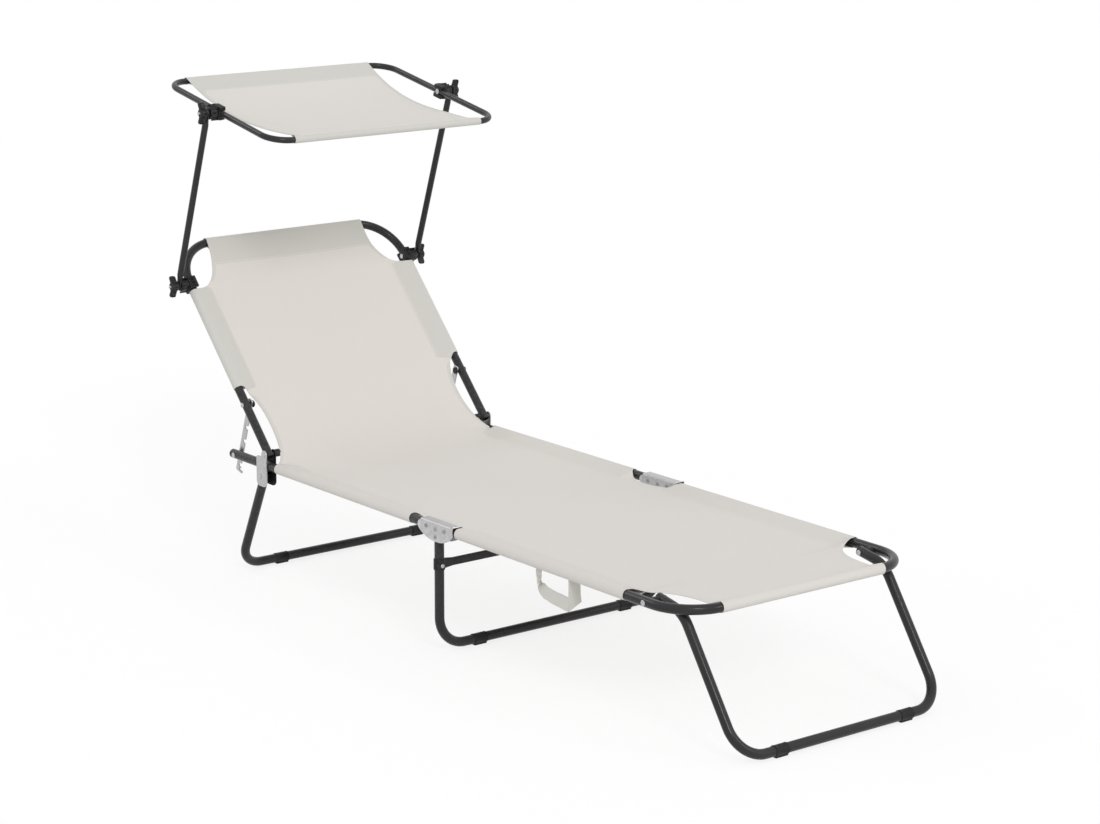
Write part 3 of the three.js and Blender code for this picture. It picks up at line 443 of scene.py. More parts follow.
def make_zinc(name, dark, light):
    material, tree, shader = new_material(name, metallic=0.85)
    place = object_position(tree)
    spangle = add_group(tree, spangle_group, {"Position": place, "Crystal Scale": 240.0})
    rubbed = add_group(tree, edge_group, {"Position": place, "Amount": 0.6})
    crystal = blend_colours(tree, spangle["Crystals"], dark, light)
    feed(tree, shader.inputs["Base Color"], blend_colours(tree, rubbed["Mask"], crystal, ZINC_RUBBED))
    feed(tree, shader.inputs["Roughness"], map_range(tree, spangle["Crystals"], 0.0, 1.0, *ZINC_ROUGHNESS))
    add_bump(tree, shader, spangle["Height"], ZINC_BUMP, SKIN_DEPTH)
    return material


zinc = make_zinc("galvanised_steel", (0.47, 0.465, 0.472), (0.56, 0.553, 0.562))
rivet_zinc = make_zinc("rivet_steel", (0.27, 0.265, 0.27), (0.36, 0.355, 0.36))
print("Made", zinc.name, "and", rivet_zinc.name)

# %% [markdown]
# Clamps, knobs, shoes and collars are moulded in black plastic. The mould is spark eroded, which leaves
# an even grain, and the plastic scuffs to a dull grey along its edges.

# %% The black plastic
plastic = make_skinned(
    "black_plastic", colours=((0.008, 0.008, 0.009), (0.014, 0.014, 0.015), (0.075, 0.075, 0.078)),
    roughness=(0.42, 0.56), pebbles=1500.0, patches=24.0, wear=0.7, bump=0.3, specular=0.25)
print("Made", plastic.name)

# %% [markdown]
# The sling is a woven polyester, off-white and matt. Where it is sewn double, round a tube and in its
# hems, less light comes through from behind. That is painted into its colour as a painted shade, which
# makes it a little greyer. Each point of the cloth carries a number named past_seam for that: above 0 the
# cloth is double, and below 0 it is single. On the level part of the deck hardly any light comes from
# behind, so there a painted backlight share keeps the painted shade of the double bands faint.

# %% The cloth and the webbing
FLAT_DECK_BACKLIGHT = 0.25
BACKLIGHT_RAMP = (-0.12, 0.08)
CLOTH_ROUGHNESS = 0.82
HALF_SEAM = 0.6 * MM
# How much darker the painted shade between the threads is. The slubs take the same tone.
SLUB_TONE_AND_GAP_SHADE = 0.93
THREAD_TONE = 1.06
SLUB_RANGE = (0.3, 0.7)
SLUB_SHADE = 0.12
# Where the weave is low, between its threads, it takes up to this much painted shade.
GAP_RANGE = (0.0, 0.9)
GAP_SHADE = 0.30
STITCH_RELIEF = 1.6
LAYER_RELIEF = 1.2
WEAVE_DEPTH = 0.3 * MM


def make_cloth(name, threads, single, double, bump):
    material, tree, shader = new_material(name, specular=0.3, sheen=0.12)
    feed(tree, shader.inputs["Roughness"], CLOTH_ROUGHNESS)
    uv_map = tree.nodes.new("ShaderNodeUVMap")
    uv_map.uv_map = "cloth"
    on_cloth = uv_map.outputs["UV"]
    seam = tree.nodes.new("ShaderNodeAttribute")
    seam.attribute_name = "past_seam"
    past = seam.outputs["Fac"]
    weave = add_group(tree, weave_group, {"Cloth": on_cloth, "Threads": threads})
    stitches = add_group(tree, stitch_group, {"Cloth": on_cloth, "Past Seam": past})

    layers = map_range(tree, past, -HALF_SEAM, HALF_SEAM)
    along = add_node(tree, "ShaderNodeSeparateXYZ", {"Vector": on_cloth}).outputs["Y"]
    # The painted backlight share rises along the cloth from the level deck to the backrest. It sets how much
    # painted shade the double bands take.
    painted_backlight = map_range(tree, along, *BACKLIGHT_RAMP, FLAT_DECK_BACKLIGHT, 1.0)
    base = blend_colours(tree, add_math(tree, "MULTIPLY", layers, painted_backlight), single, double)
    shade = map_range(tree, weave["Slub"], *SLUB_RANGE, 0.0, SLUB_SHADE)
    # Between the thread crests the colour is darkened: a painted shade in the hollows of the weave. The slubs take
    # the same darker grey as a tone of their own.
    gap = map_range(tree, weave["Height"], *GAP_RANGE, GAP_SHADE, 0.0)
    slub_and_gap_shade_colour = tuple(SLUB_TONE_AND_GAP_SHADE * value for value in double)
    woven = blend_colours(tree, add_math(tree, "MAXIMUM", shade, gap), base, slub_and_gap_shade_colour)
    thread_colour = tuple(min(1.0, THREAD_TONE * value) for value in single)
    feed(tree, shader.inputs["Base Color"], blend_colours(tree, stitches["Mask"], woven, thread_colour))

    stitched = add_math(tree, "MULTIPLY", stitches["Height"], STITCH_RELIEF)
    doubled = add_math(tree, "MULTIPLY", layers, LAYER_RELIEF)
    relief = add_math(tree, "ADD", add_math(tree, "ADD", weave["Height"], stitched), doubled)
    add_bump(tree, shader, relief, bump, WEAVE_DEPTH)
    return material


# The second colour of each is the painted shade of the double layers.
cloth = make_cloth("sling_cloth", 1100.0, (0.738, 0.703, 0.664), (0.640, 0.625, 0.588), 0.25)
webbing = make_cloth("carry_webbing", 700.0, (0.68, 0.67, 0.62), (0.62, 0.61, 0.57), 0.5)
print("Made", cloth.name, "and", webbing.name)

# %% [markdown]
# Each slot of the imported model's record gets its finish.

# %% The finishes by slot
finishes = {"steel": painted_steel, "zinc": zinc, "plastic": plastic, "fabric": cloth, "webbing": webbing}
print("Finishes:", ", ".join(finishes))

# %% [markdown]
# ## Making a piece
# Every piece ends the same way. Its faces are turned outwards, its mesh is moved to its place, so that
# the object itself stays at the origin, it is told which body carries it, and the parts of the imported
# model that it stands for are hidden. Edges sharper than a chosen angle stay crisp under smooth shading.

# %% A helper that finishes a piece
def finish_piece(bm, name, slot, body=None, nodes=(), place=None, crisp=35, material=None):
    if place is not None:
        bmesh.ops.transform(bm, matrix=place, verts=bm.verts)
    bmesh.ops.recalc_face_normals(bm, faces=bm.faces)
    bm.edges.index_update()
    rims = [edge.index for edge in bm.edges if edge.is_boundary]
    mesh = bpy.data.meshes.new(name)
    bm.to_mesh(mesh)
    bm.free()
    mesh.shade_smooth()
    mesh.set_sharp_from_angle(angle=math.radians(crisp))
    for index in rims:
        mesh.edges[index].use_edge_sharp = True
    mesh.materials.append(material or finishes[slot])
    piece = bpy.data.objects.new(name, mesh)
    bpy.context.scene.collection.objects.link(piece)
    if body:
        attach(piece, body)
    if nodes:
        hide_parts(*nodes)
    return piece


# %% [markdown]
# ## Tubes
# A bent tube is a circle that is pulled straight, spun round each bend and pulled on again, as a tube
# bender works. Both ends are closed with a face, inset by the wall and pushed in, so that they read
# as hollow. A sweep along a curve would do it too, but the spin keeps its rings square in the bends.

# %% Helpers for bent tubes
TUBE_SIDES = 28
BEND_STEP = math.radians(6)
TUBE_WALL = 1.2 * MM
END_DEPTH = 25 * MM
END_ROUND = 0.35 * MM


def verts_of(items):
    return [item for item in items if isinstance(item, bmesh.types.BMVert)]


def edges_of(items):
    return [item for item in items if isinstance(item, bmesh.types.BMEdge)]


def pull(bm, edges, move):
    made = bmesh.ops.extrude_edge_only(bm, edges=edges)["geom"]
    bmesh.ops.translate(bm, verts=verts_of(made), vec=move)
    return edges_of(made)


def hollow_end(bm, edges, inward, wall):
    made = bmesh.ops.contextual_create(bm, geom=edges)["faces"]
    bmesh.ops.inset_region(bm, faces=made, thickness=END_ROUND, depth=END_ROUND, use_even_offset=True)
    bmesh.ops.inset_region(bm, faces=made, thickness=wall, use_even_offset=True)
    pushed = bmesh.ops.extrude_discrete_faces(bm, faces=made)["faces"]
    bmesh.ops.translate(bm, verts=pushed[0].verts, vec=inward)


def bent_tube(corners, radii, radius, wall=TUBE_WALL):
    bm = bmesh.new()
    points = [Vector(corner) for corner in corners]
    heading = (points[1] - points[0]).normalized()
    aim = Matrix.Translation(points[0]) @ heading.to_track_quat("Z", "Y").to_matrix().to_4x4()
    bmesh.ops.create_circle(bm, segments=TUBE_SIDES, radius=radius, matrix=aim)
    first_edges = bm.edges[:]
    first_heading = heading.copy()
    edges = first_edges
    here = points[0]
    for corner, after, bend in zip(points[1:-1], points[2:], radii):
        onward = (after - corner).normalized()
        turn = heading.angle(onward)
        reach = bend * math.tan(turn / 2)
        start = corner - heading * reach
        edges = pull(bm, edges, start - here)
        axis = heading.cross(onward).normalized()
        centre = start + axis.cross(heading) * bend
        spun = bmesh.ops.spin(bm, geom=edges, cent=centre, axis=axis, dvec=(0, 0, 0), angle=turn,
                              steps=max(3, round(turn / BEND_STEP)), use_merge=False, use_duplicate=False)
        edges = edges_of(spun["geom_last"])
        here = corner + onward * reach
        heading = onward
    edges = pull(bm, edges, points[-1] - here)
    hollow_end(bm, edges, -heading * END_DEPTH, wall)
    hollow_end(bm, first_edges, first_heading * END_DEPTH, wall)
    return bm


def u_tube(half, start, bar, corner, radius, wall=TUBE_WALL):
    """A U from start to bar and back, both given as (y, z), with its sides half away from the middle."""
    corners = [(-half, *start), (-half, *bar), (half, *bar), (half, *start)]
    return bent_tube(corners, [corner, corner], radius, wall)


# %% [markdown]
# The side rails run straight from the middle hinge to the stubs behind the backrest. The foot frame is a
# wide U of the same tube. Its bends are tight, so they catch a long highlight. The rails and the foot
# frame stop short of the hinge's pivots, so that their ends clear its roof when the lounger is folded.

# %% Seat rails and foot frame
FOOT_CORNER = 88 * MM
RAIL_END = 8 * MM

for name, side in SIDES:
    ends = [(side * RAIL_X, SEAT_HINGE.y - RAIL_END, DECK_Z), (side * RAIL_X, STUB_END, DECK_Z)]
    rail = bent_tube(ends, [], RAIL_R)
    finish_piece(rail, f"rail_tube_{name}", "steel", "seat_frame", [f"side_rail_{name}"])

foot_tube = u_tube(RAIL_X, (FOOT_HINGE.y + RAIL_END, DECK_Z), (FOOT_BAR_Y, DECK_Z), FOOT_CORNER, RAIL_R)
finish_piece(foot_tube, "foot_tube", "steel", "foot_section", ["foot_frame"])
print("Foot bar", round(FOOT_BAR_Y - FOOT_HINGE.y, 4), "m from its hinge")

# %% [markdown]
# The backrest is another U, drawn lying along Y from its pivot and then leaned back. The two canopy tubes
# meet inside the clamps, so the front one and the back one are separate pieces.

# %% Backrest and canopy tubes
BACK_R = 9 * MM
BACK_CORNER = 92 * MM
BACK_LENGTH = 524 * MM
TUBE_RUN = 7 * MM
CANOPY_R = 6.5 * MM
CANOPY_X = RAIL_X + 2.5 * MM
CANOPY_HALF = 208.5 * MM
CANOPY_CORNER = 47 * MM
CANOPY_SPLIT = 8 * MM
THIN_WALL = 1 * MM

back_tube = u_tube(RAIL_X, (-TUBE_RUN, 0), (BACK_LENGTH, 0), BACK_CORNER, BACK_R)
finish_piece(back_tube, "back_tube", "steel", "backrest", ["back_frame"], back_frame)
for name, bar in (("front", -CANOPY_HALF), ("back", CANOPY_HALF)):
    tube = u_tube(CANOPY_X, (CANOPY_SPLIT, 0), (bar, 0), CANOPY_CORNER, CANOPY_R, THIN_WALL)
    finish_piece(tube, f"canopy_{name}_bow", "steel", "canopy", [f"canopy_{name}_tube"], canopy_frame)
print("Made the backrest tube and both canopy tubes")

# %% [markdown]
# The legs are closed by a bar on the floor, which makes each pair one loop. The front leg has a knee
# where it comes out from under the foot frame.

# %% Leg tubes
LEG_R = 9.5 * MM
REAR_CORNER = 50 * MM
LEG_CORNER = 60 * MM
KNEE_CORNER = 65 * MM
MID_LEG_TOP = DECK_Z + 7.5 * MM
FRONT_LEG_X = RAIL_X - 33 * MM
KNEE_RUN = 58 * MM
KNEE_DROP = 10 * MM

rear_leg = u_tube(RAIL_X, (0, TUBE_RUN), (0, -REAR_LENGTH), REAR_CORNER, LEG_R)
finish_piece(rear_leg, "rear_leg_loop_tube", "steel", "rear_leg_loop", ["rear_leg"], rear_frame)
mid_leg = u_tube(RAIL_X, (MID_LEG_Y, MID_LEG_TOP), (MID_LEG_Y, FLOOR_GAP), LEG_CORNER, LEG_R)
finish_piece(mid_leg, "mid_leg_tube", "steel", "mid_hinge", ["mid_leg"])


def front_side(side):
    """The corners of the front leg's tube on one side, from its top over the knee to the floor."""
    x = side * FRONT_LEG_X
    top = (x, FRONT_PIVOT.y + TUBE_RUN, FRONT_PIVOT.z + TUBE_RUN * KNEE_DROP / KNEE_RUN)
    knee = (x, FRONT_PIVOT.y - KNEE_RUN, FRONT_PIVOT.z - KNEE_DROP)
    return [top, knee, (x, FRONT_FOOT_Y, FLOOR_GAP)]


front_leg = bent_tube(front_side(-1) + front_side(1)[::-1],
                      [KNEE_CORNER, LEG_CORNER, LEG_CORNER, KNEE_CORNER], LEG_R)
finish_piece(front_leg, "front_leg_tube", "steel", "front_leg_loop", ["front_leg"])
print("Made three leg loops")

# %% [markdown]
# ## Turned parts
# Rivets, bolts, caps and shoes are all turned about an axis. A profile is drawn as a row of points and
# spun once round. The points are pairs of a distance along the X axis and a radius, from one end to
# the other, which is how a turner reads a drawing.

# %% Helpers for turned parts
TURN_STEPS = 24
ROUND_STEPS = 36
POLE_MERGE = 0.002 * MM
FULL_TURN = 2 * math.pi
QUARTER_TURN = math.pi / 2


def turned(profile, place=None, steps=TURN_STEPS):
    bm = bmesh.new()
    verts = [bm.verts.new((along, 0, radius)) for along, radius in profile]
    edges = [bm.edges.new(pair) for pair in zip(verts, verts[1:])]
    bmesh.ops.spin(bm, geom=verts + edges, cent=(0, 0, 0), axis=(1, 0, 0), dvec=(0, 0, 0),
                   angle=FULL_TURN, steps=steps, use_merge=True, use_duplicate=False)
    bmesh.ops.remove_doubles(bm, verts=bm.verts, dist=POLE_MERGE)
    if place is not None:
        bmesh.ops.transform(bm, matrix=place, verts=bm.verts)
    return bm


def on_side(bm, side):
    """A mesh made for the left, side 1, mirrored where it is wanted on the right, side -1."""
    bmesh.ops.scale(bm, vec=(side, 1, 1), verts=bm.verts)
    return bm


def add_to(bm, other):
    mesh = bpy.data.meshes.new("joining")
    other.to_mesh(mesh)
    other.free()
    bm.from_mesh(mesh)
    bpy.data.meshes.remove(mesh)
    return bm


def dome(start, radius, height, out):
    """The profile of a rivet's head: flat side at start, domed towards out."""
    shares = ((0.0, 1.0), (0.35, 0.97), (0.7, 0.8), (0.92, 0.5), (1.0, 0.0))
    return [(start + out * height * up, radius * round_) for up, round_ in shares]


# %% [markdown]
# A rivet is a shank with a domed head at each end. The profile runs from one head's crown to the other's.
# The hinges' rivets have smaller heads and a darker grey of zinc.

# %% Rivets through the tubes
RIVET_R = 3 * MM
HEAD_R = 5.5 * MM
HEAD_HEIGHT = 2 * MM
HINGE_HEAD_R = 4.2 * MM
FIT = 0.3 * MM
RUN_FIT = 0.5 * MM
PLATE = 2.5 * MM
CHEEK = 2 * MM
OUTER_PLATE = RAIL_X + RAIL_R + RUN_FIT
INNER_PLATE = RAIL_X - RAIL_R - RUN_FIT


def rivet(side, inner, outer, y, z, head=HEAD_R):
    profile = dome(inner, head, HEAD_HEIGHT, -1)[::-1] + [(inner, RIVET_R), (outer, RIVET_R)]
    profile += dome(outer, head, HEAD_HEIGHT, 1)
    return on_side(turned(profile, Matrix.Translation((0, y, z))), side)


for name, side in SIDES:
    leg_pin = rivet(side, INNER_PLATE - PLATE - FIT, OUTER_PLATE + PLATE + FIT, REAR_PIVOT.y, REAR_PIVOT.z)
    finish_piece(leg_pin, f"rear_leg_pin_{name}", "zinc", "seat_frame", [f"rear_leg_rivet_{name}"])
    for section, hinge, body in (("seat", SEAT_HINGE, "seat_frame"), ("foot", FOOT_HINGE, "foot_section")):
        pin = rivet(side, INNER_PLATE - CHEEK - FIT, OUTER_PLATE + CHEEK + FIT, hinge.y, hinge.z,
                    HINGE_HEAD_R)
        finish_piece(pin, f"{section}_hinge_pin_{name}", "zinc", body, [f"{section}_hinge_rivet_{name}"],
                     material=rivet_zinc)
    stub_y = middle(f"rack_pin_{name}").y
    stub_pin = rivet(side, INNER_PLATE - RIVET_R, RAIL_X + RAIL_R + FIT, stub_y, DECK_Z)
    finish_piece(stub_pin, f"stub_pin_{name}", "zinc", "seat_frame", [f"rack_pin_{name}"])
print("Made the rivets of the rails")

# %% [markdown]
# The front leg turns on a long rivet with a spacer, because its tube stands in from the frame's. The
# backrest turns on a bolt whose inner end wears a black cap.

# %% Front leg rivets and backrest bolts
SPACER_R = 7 * MM
CAP_R = 8 * MM
CAP_LENGTH = 13 * MM
CAP_ROUND = 1.2 * MM


def bolt(inner, outer, place):
    """A bolt with its domed head at outer. Its end at inner is hidden in a cap."""
    return turned([(inner - FIT, RIVET_R), (outer, RIVET_R)] + dome(outer, HEAD_R, HEAD_HEIGHT, 1), place)


def bolt_cap(inner, radius, length, place):
    """A closed cap over a bolt's inner end, which starts at inner and runs inwards."""
    end = inner - length
    return turned([(end, 0), (end, radius - CAP_ROUND), (end + CAP_ROUND, radius), (inner - FIT, radius),
                   (inner, radius - FIT), (inner, RIVET_R)], place)


at_front = Matrix.Translation((0, FRONT_PIVOT.y, FRONT_PIVOT.z))
at_back = Matrix.Translation((0, BACK_PIVOT.y, BACK_PIVOT.z))
gap_in = FRONT_LEG_X + LEG_R + FIT
gap_out = RAIL_X - RAIL_R - FIT
cap_start = INNER_PLATE - PLATE - FIT
spacer_profile = [(gap_in, RIVET_R), (gap_in, SPACER_R - FIT), (gap_in + FIT, SPACER_R),
                  (gap_out - FIT, SPACER_R), (gap_out, SPACER_R - FIT), (gap_out, RIVET_R)]
for name, side in SIDES:
    pin = rivet(side, FRONT_LEG_X - LEG_R - FIT, RAIL_X + RAIL_R + FIT, FRONT_PIVOT.y, FRONT_PIVOT.z)
    finish_piece(pin, f"front_leg_pin_{name}", "zinc", "foot_section", [f"front_leg_rivet_{name}"])
    spacer = on_side(turned(spacer_profile, at_front), side)
    finish_piece(spacer, f"front_leg_spacer_{name}", "plastic", "foot_section")
    back_bolt = on_side(bolt(cap_start, OUTER_PLATE + PLATE + FIT, at_back), side)
    finish_piece(back_bolt, f"back_bolt_{name}", "zinc", "seat_frame", [f"back_pivot_bolt_{name}"])
    cap = on_side(bolt_cap(cap_start, CAP_R, CAP_LENGTH, at_back), side)
    finish_piece(cap, f"back_bolt_cap_{name}", "plastic", "seat_frame")
print("Made the front leg rivets and the backrest bolts")

# %% [markdown]
# The stubs behind the backrest are closed with black plugs, which keep rain out. A plug has a flange as
# wide as the tube and a short neck inside it.

# %% Stub plugs
PLUG_NECK = 14 * MM
PLUG_FLANGE = 2.2 * MM
PLUG_SHOULDER = 0.7 * PLUG_FLANGE
PLUG_ROUND = 0.9 * MM
PLUG_FIT = 0.1 * MM

bore = RAIL_R - TUBE_WALL - PLUG_FIT
plug_profile = [(-PLUG_NECK, 0), (-PLUG_NECK, bore), (PLUG_FIT, bore), (PLUG_FIT, RAIL_R),
                (PLUG_SHOULDER, RAIL_R), (PLUG_FLANGE, RAIL_R - PLUG_ROUND), (PLUG_FLANGE, 0)]
for name, side in SIDES:
    at_stub = Matrix.Translation((side * RAIL_X, STUB_END, DECK_Z)) @ Matrix.Rotation(QUARTER_TURN, 4, "Z")
    finish_piece(turned(plug_profile, at_stub), f"stub_plug_{name}", "plastic", "seat_frame")
print("Made the stub plugs")

# %% [markdown]
# ## Sheet metal
# A pressed plate starts as its outline: a few corner points joined by one face. Each corner is rounded by
# bevelling its vertex, the face is pulled out to the thickness, and the rim gets a small bevel, because
# a pressed edge is never quite sharp.

# %% Helpers for plates
RIM = 0.35 * MM
CORNER_STEPS = 8


def bevel(bm, geom, width, steps, affect="EDGES"):
    bmesh.ops.bevel(bm, geom=geom, offset=width, offset_type="OFFSET", affect=affect, segments=steps,
                    profile=0.5, material=-1)


def level_edges(bm):
    """The edges that lie square to the X axis, round both faces of a plate."""
    return [edge for edge in bm.edges if abs(edge.verts[0].co.x - edge.verts[1].co.x) < FIT / 2]


def plate(outline, thickness, rim=RIM, rim_steps=2):
    """A plate from points of (y, z, corner radius), lying on x = 0 and thickening towards +X."""
    bm = bmesh.new()
    verts = [bm.verts.new((0, y, z)) for y, z, radius in outline]
    bm.faces.new(verts)
    for vert, (y, z, radius) in zip(verts, outline):
        if radius:
            before, after = (edge.other_vert(vert).co - vert.co for edge in vert.link_edges)
            bevel(bm, [vert], radius / math.tan(before.angle(after) / 2), CORNER_STEPS, "VERTICES")
    pushed = bmesh.ops.extrude_face_region(bm, geom=bm.faces[:])["geom"]
    bmesh.ops.translate(bm, verts=verts_of(pushed), vec=(thickness, 0, 0))
    bevel(bm, level_edges(bm), rim, rim_steps)
    return bm


# %% [markdown]
# The bracket plates stand on both sides of the rail. The outer one is bare zinc and the inner one black.
# Each has a lobe round the backrest's pivot, a low shoulder behind it and a long tongue down to the
# rear leg's rivet.

# %% Bracket plates
PLATE_FRONT = 9 * MM
PLATE_BACK = 28 * MM
PLATE_DROP = 44 * MM
PLATE_SHOULDER = 20 * MM
PLATE_LOBE = 9 * MM
PLATE_CORNER = 12 * MM
SHOULDER_CORNER = 6 * MM
LOBE_CORNER = 8.9 * MM
NECK_CORNER = 5 * MM
PIVOT_RISE = BACK_PIVOT.z - DECK_Z

bracket_outline = [
    (-PLATE_FRONT, PIVOT_RISE + PLATE_LOBE, LOBE_CORNER),
    (-PLATE_FRONT, -PLATE_DROP, PLATE_CORNER),
    (PLATE_BACK, -PLATE_DROP, PLATE_CORNER),
    (PLATE_BACK, PLATE_SHOULDER, SHOULDER_CORNER),
    (PLATE_LOBE, PLATE_SHOULDER, NECK_CORNER),
    (PLATE_LOBE, PIVOT_RISE + PLATE_LOBE, LOBE_CORNER),
]
for name, side in SIDES:
    for kind, low, slot in (("outer", OUTER_PLATE, "zinc"), ("inner", INNER_PLATE - PLATE, "plastic")):
        bracket = plate(bracket_outline, PLATE)
        bmesh.ops.translate(bracket, verts=bracket.verts, vec=(low, BACK_PIVOT.y, DECK_Z))
        if kind == "outer":
            add_to(bracket, rivet(1, INNER_PLATE - PLATE - FIT, OUTER_PLATE + PLATE, BACK_PIVOT.y, DECK_Z))
        finish_piece(on_side(bracket, side), f"bracket_{kind}_plate_{name}", slot, "seat_frame",
                     [f"bracket_{kind}_{name}"])
print("Made four bracket plates")

# %% [markdown]
# The folding hinge is a channel pressed from one strip, upside down over both rail ends. It starts as a
# long box without its floor and ends. The top edges are rounded, the cheeks are cut into loops along
# their length, and their lower verts are moved to the curve of the lower edge. The roof's foot end is
# turned up a little. Solidify gives the sheet its thickness.

# %% Hinge channels
HINGE_Y = (SEAT_HINGE.y + FOOT_HINGE.y) / 2
HINGE_LENGTH = 112 * MM
HINGE_DROP = 26 * MM
HINGE_SIDE = 4 * MM
HINGE_HALF = RAIL_R + RUN_FIT + CHEEK
HINGE_TOP = HINGE_HALF
HINGE_BEND = 4 * MM
HINGE_BEND_STEPS = 6
HINGE_CUTS = 83
HINGE_CORNER = 9 * MM
HINGE_LEAN = -4 * MM
HINGE_FULLNESS = 2.2
HINGE_ROUNDING = 0.75
HINGE_TAB = 2 * MM
HINGE_SPLAY = 0.06
LEG_RIVET_DROPS = (1 * MM, 17 * MM)
LEG_RIVET_ASIDE = 3 * MM


def cheek_drop(y):
    """How far the cheek's lower edge lies below the rails' centre line."""
    reach = HINGE_LENGTH / 2 - HINGE_LEAN * math.copysign(1, y - HINGE_LEAN)
    share = min(1.0, abs(y - HINGE_LEAN) / reach)
    return HINGE_SIDE + (HINGE_DROP - HINGE_SIDE) * (1 - share ** HINGE_FULLNESS) ** HINGE_ROUNDING


def corner_top(y):
    """The height of the cheek's top corner, rounded at both ends of the channel."""
    past = max(0.0, abs(y) - HINGE_LENGTH / 2 + HINGE_CORNER)
    return HINGE_TOP - HINGE_BEND - HINGE_CORNER + math.sqrt(max(0.0, HINGE_CORNER ** 2 - past ** 2))


def hinge_box():
    """The box without its floor and ends, cut into loops, with its top edges bent round."""
    bm = bmesh.new()
    bmesh.ops.create_cube(bm, size=1)
    bmesh.ops.scale(bm, vec=(2 * HINGE_HALF, HINGE_LENGTH, 1), verts=bm.verts)
    for vert in bm.verts:
        vert.co.z = HINGE_TOP if vert.co.z > 0 else -HINGE_DROP
    open_sides = [face for face in bm.faces if abs(face.normal.x) < 0.5 and face.normal.z < 0.5]
    bmesh.ops.delete(bm, geom=open_sides, context="FACES_ONLY")
    loose = [edge for edge in bm.edges if not edge.link_faces]
    bmesh.ops.delete(bm, geom=loose, context="EDGES")
    long_edges = [edge for edge in bm.edges if abs(edge.verts[0].co.y - edge.verts[1].co.y) > HINGE_CORNER]
    bmesh.ops.subdivide_edges(bm, edges=long_edges, cuts=HINGE_CUTS, use_grid_fill=True)
    along_top = [edge for edge in bm.edges if abs(edge.verts[0].co.x - edge.verts[1].co.x) < MM
                 and min(vert.co.z for vert in edge.verts) > 0]
    bevel(bm, along_top, HINGE_BEND, HINGE_BEND_STEPS)
    return bm


def hinge_channel():
    bm = hinge_box()
    roof_end = HINGE_LENGTH / 2 - HINGE_CORNER
    cut_off = [face for face in bm.faces if face.calc_center_median().y > roof_end and face.normal.z > 0.1]
    bmesh.ops.delete(bm, geom=cut_off, context="FACES")
    for vert in bm.verts:
        if vert.co.z < -HINGE_DROP / 2:
            vert.co.z = -cheek_drop(vert.co.y)
        elif vert.co.z < HINGE_TOP - HINGE_BEND + FIT and vert.co.y > 0:
            vert.co.z = max(corner_top(vert.co.y), -HINGE_SIDE + FIT)
        elif vert.co.y < -roof_end:
            tab = (-vert.co.y - roof_end) / HINGE_CORNER
            vert.co.z += HINGE_TAB * tab ** 2 * max(0.0, vert.co.z) / HINGE_TOP
            vert.co.x *= 1 + HINGE_SPLAY * tab ** 2
    bmesh.ops.recalc_face_normals(bm, faces=bm.faces)
    if sum(face.normal.z for face in bm.faces) < 0:
        bmesh.ops.reverse_faces(bm, faces=bm.faces)
    bmesh.ops.solidify(bm, geom=bm.faces[:], thickness=CHEEK)
    return bm


for name, side in SIDES:
    for drop in LEG_RIVET_DROPS:
        leg_rivet = rivet(side, INNER_PLATE - CHEEK, OUTER_PLATE + CHEEK, MID_LEG_Y - LEG_RIVET_ASIDE,
                          DECK_Z - drop, HINGE_HEAD_R)
        finish_piece(leg_rivet, f"leg_rivet_{name}_{round(drop / MM)}", "zinc", "mid_hinge",
                     material=rivet_zinc)
    channel = hinge_channel()
    bmesh.ops.translate(channel, verts=channel.verts, vec=(RAIL_X, HINGE_Y, DECK_Z))
    finish_piece(on_side(channel, side), f"hinge_channel_{name}", "zinc", "mid_hinge",
                 [f"hinge_plate_{name}"])
print("Made the hinge channels")

# %% [markdown]
# ## Notched racks
# A rack is a flat bar that hangs from a bolt on the backrest. Its notches drop over the pin on the rail's
# stub, one for each position of the backrest. The outline is a straight bar with a hook at its end, and
# the notches are cut by adding their corners to the lower edge. The bolt also carries a black spacer,
# which keeps the bar off the backrest's tube, and a black cap.

# %% The rack's outline
RACK_AHEAD = 4 * MM
RACK_BEHIND = 11 * MM
RACK_TAIL = 16 * MM
RACK_HEAD = 9 * MM
RACK_ROUND = 3.5 * MM
NOTCH_WIDTH = 9 * MM
NOTCH_DEPTH = 4.4 * MM
NOTCH_ANGLES = (15, 31, 47, 62)
NOTCH_LIP = 1 * MM
HOOK_DROP = 7 * MM
HOOK_LENGTH = 10 * MM
HOOK_THICK = 5 * MM
HOOK_DEPTH = 4 * MM
HOOK_ROUND = 2 * MM
rack_pivot = joint_at["rack_left_swing"]
rack_pin = middle("rack_pin_left")
BOLT_ALONG = math.hypot(rack_pivot.y - BACK_PIVOT.y, rack_pivot.z - BACK_PIVOT.z)


def rack_reach(degrees):
    """How far the stub's pin lies from the rack's bolt when the backrest stands at an angle."""
    angle = math.radians(degrees)
    y = BOLT_ALONG * math.cos(angle)
    z = PIVOT_RISE + BOLT_ALONG * math.sin(angle)
    return math.hypot(rack_pin.y - BACK_PIVOT.y - y, z)


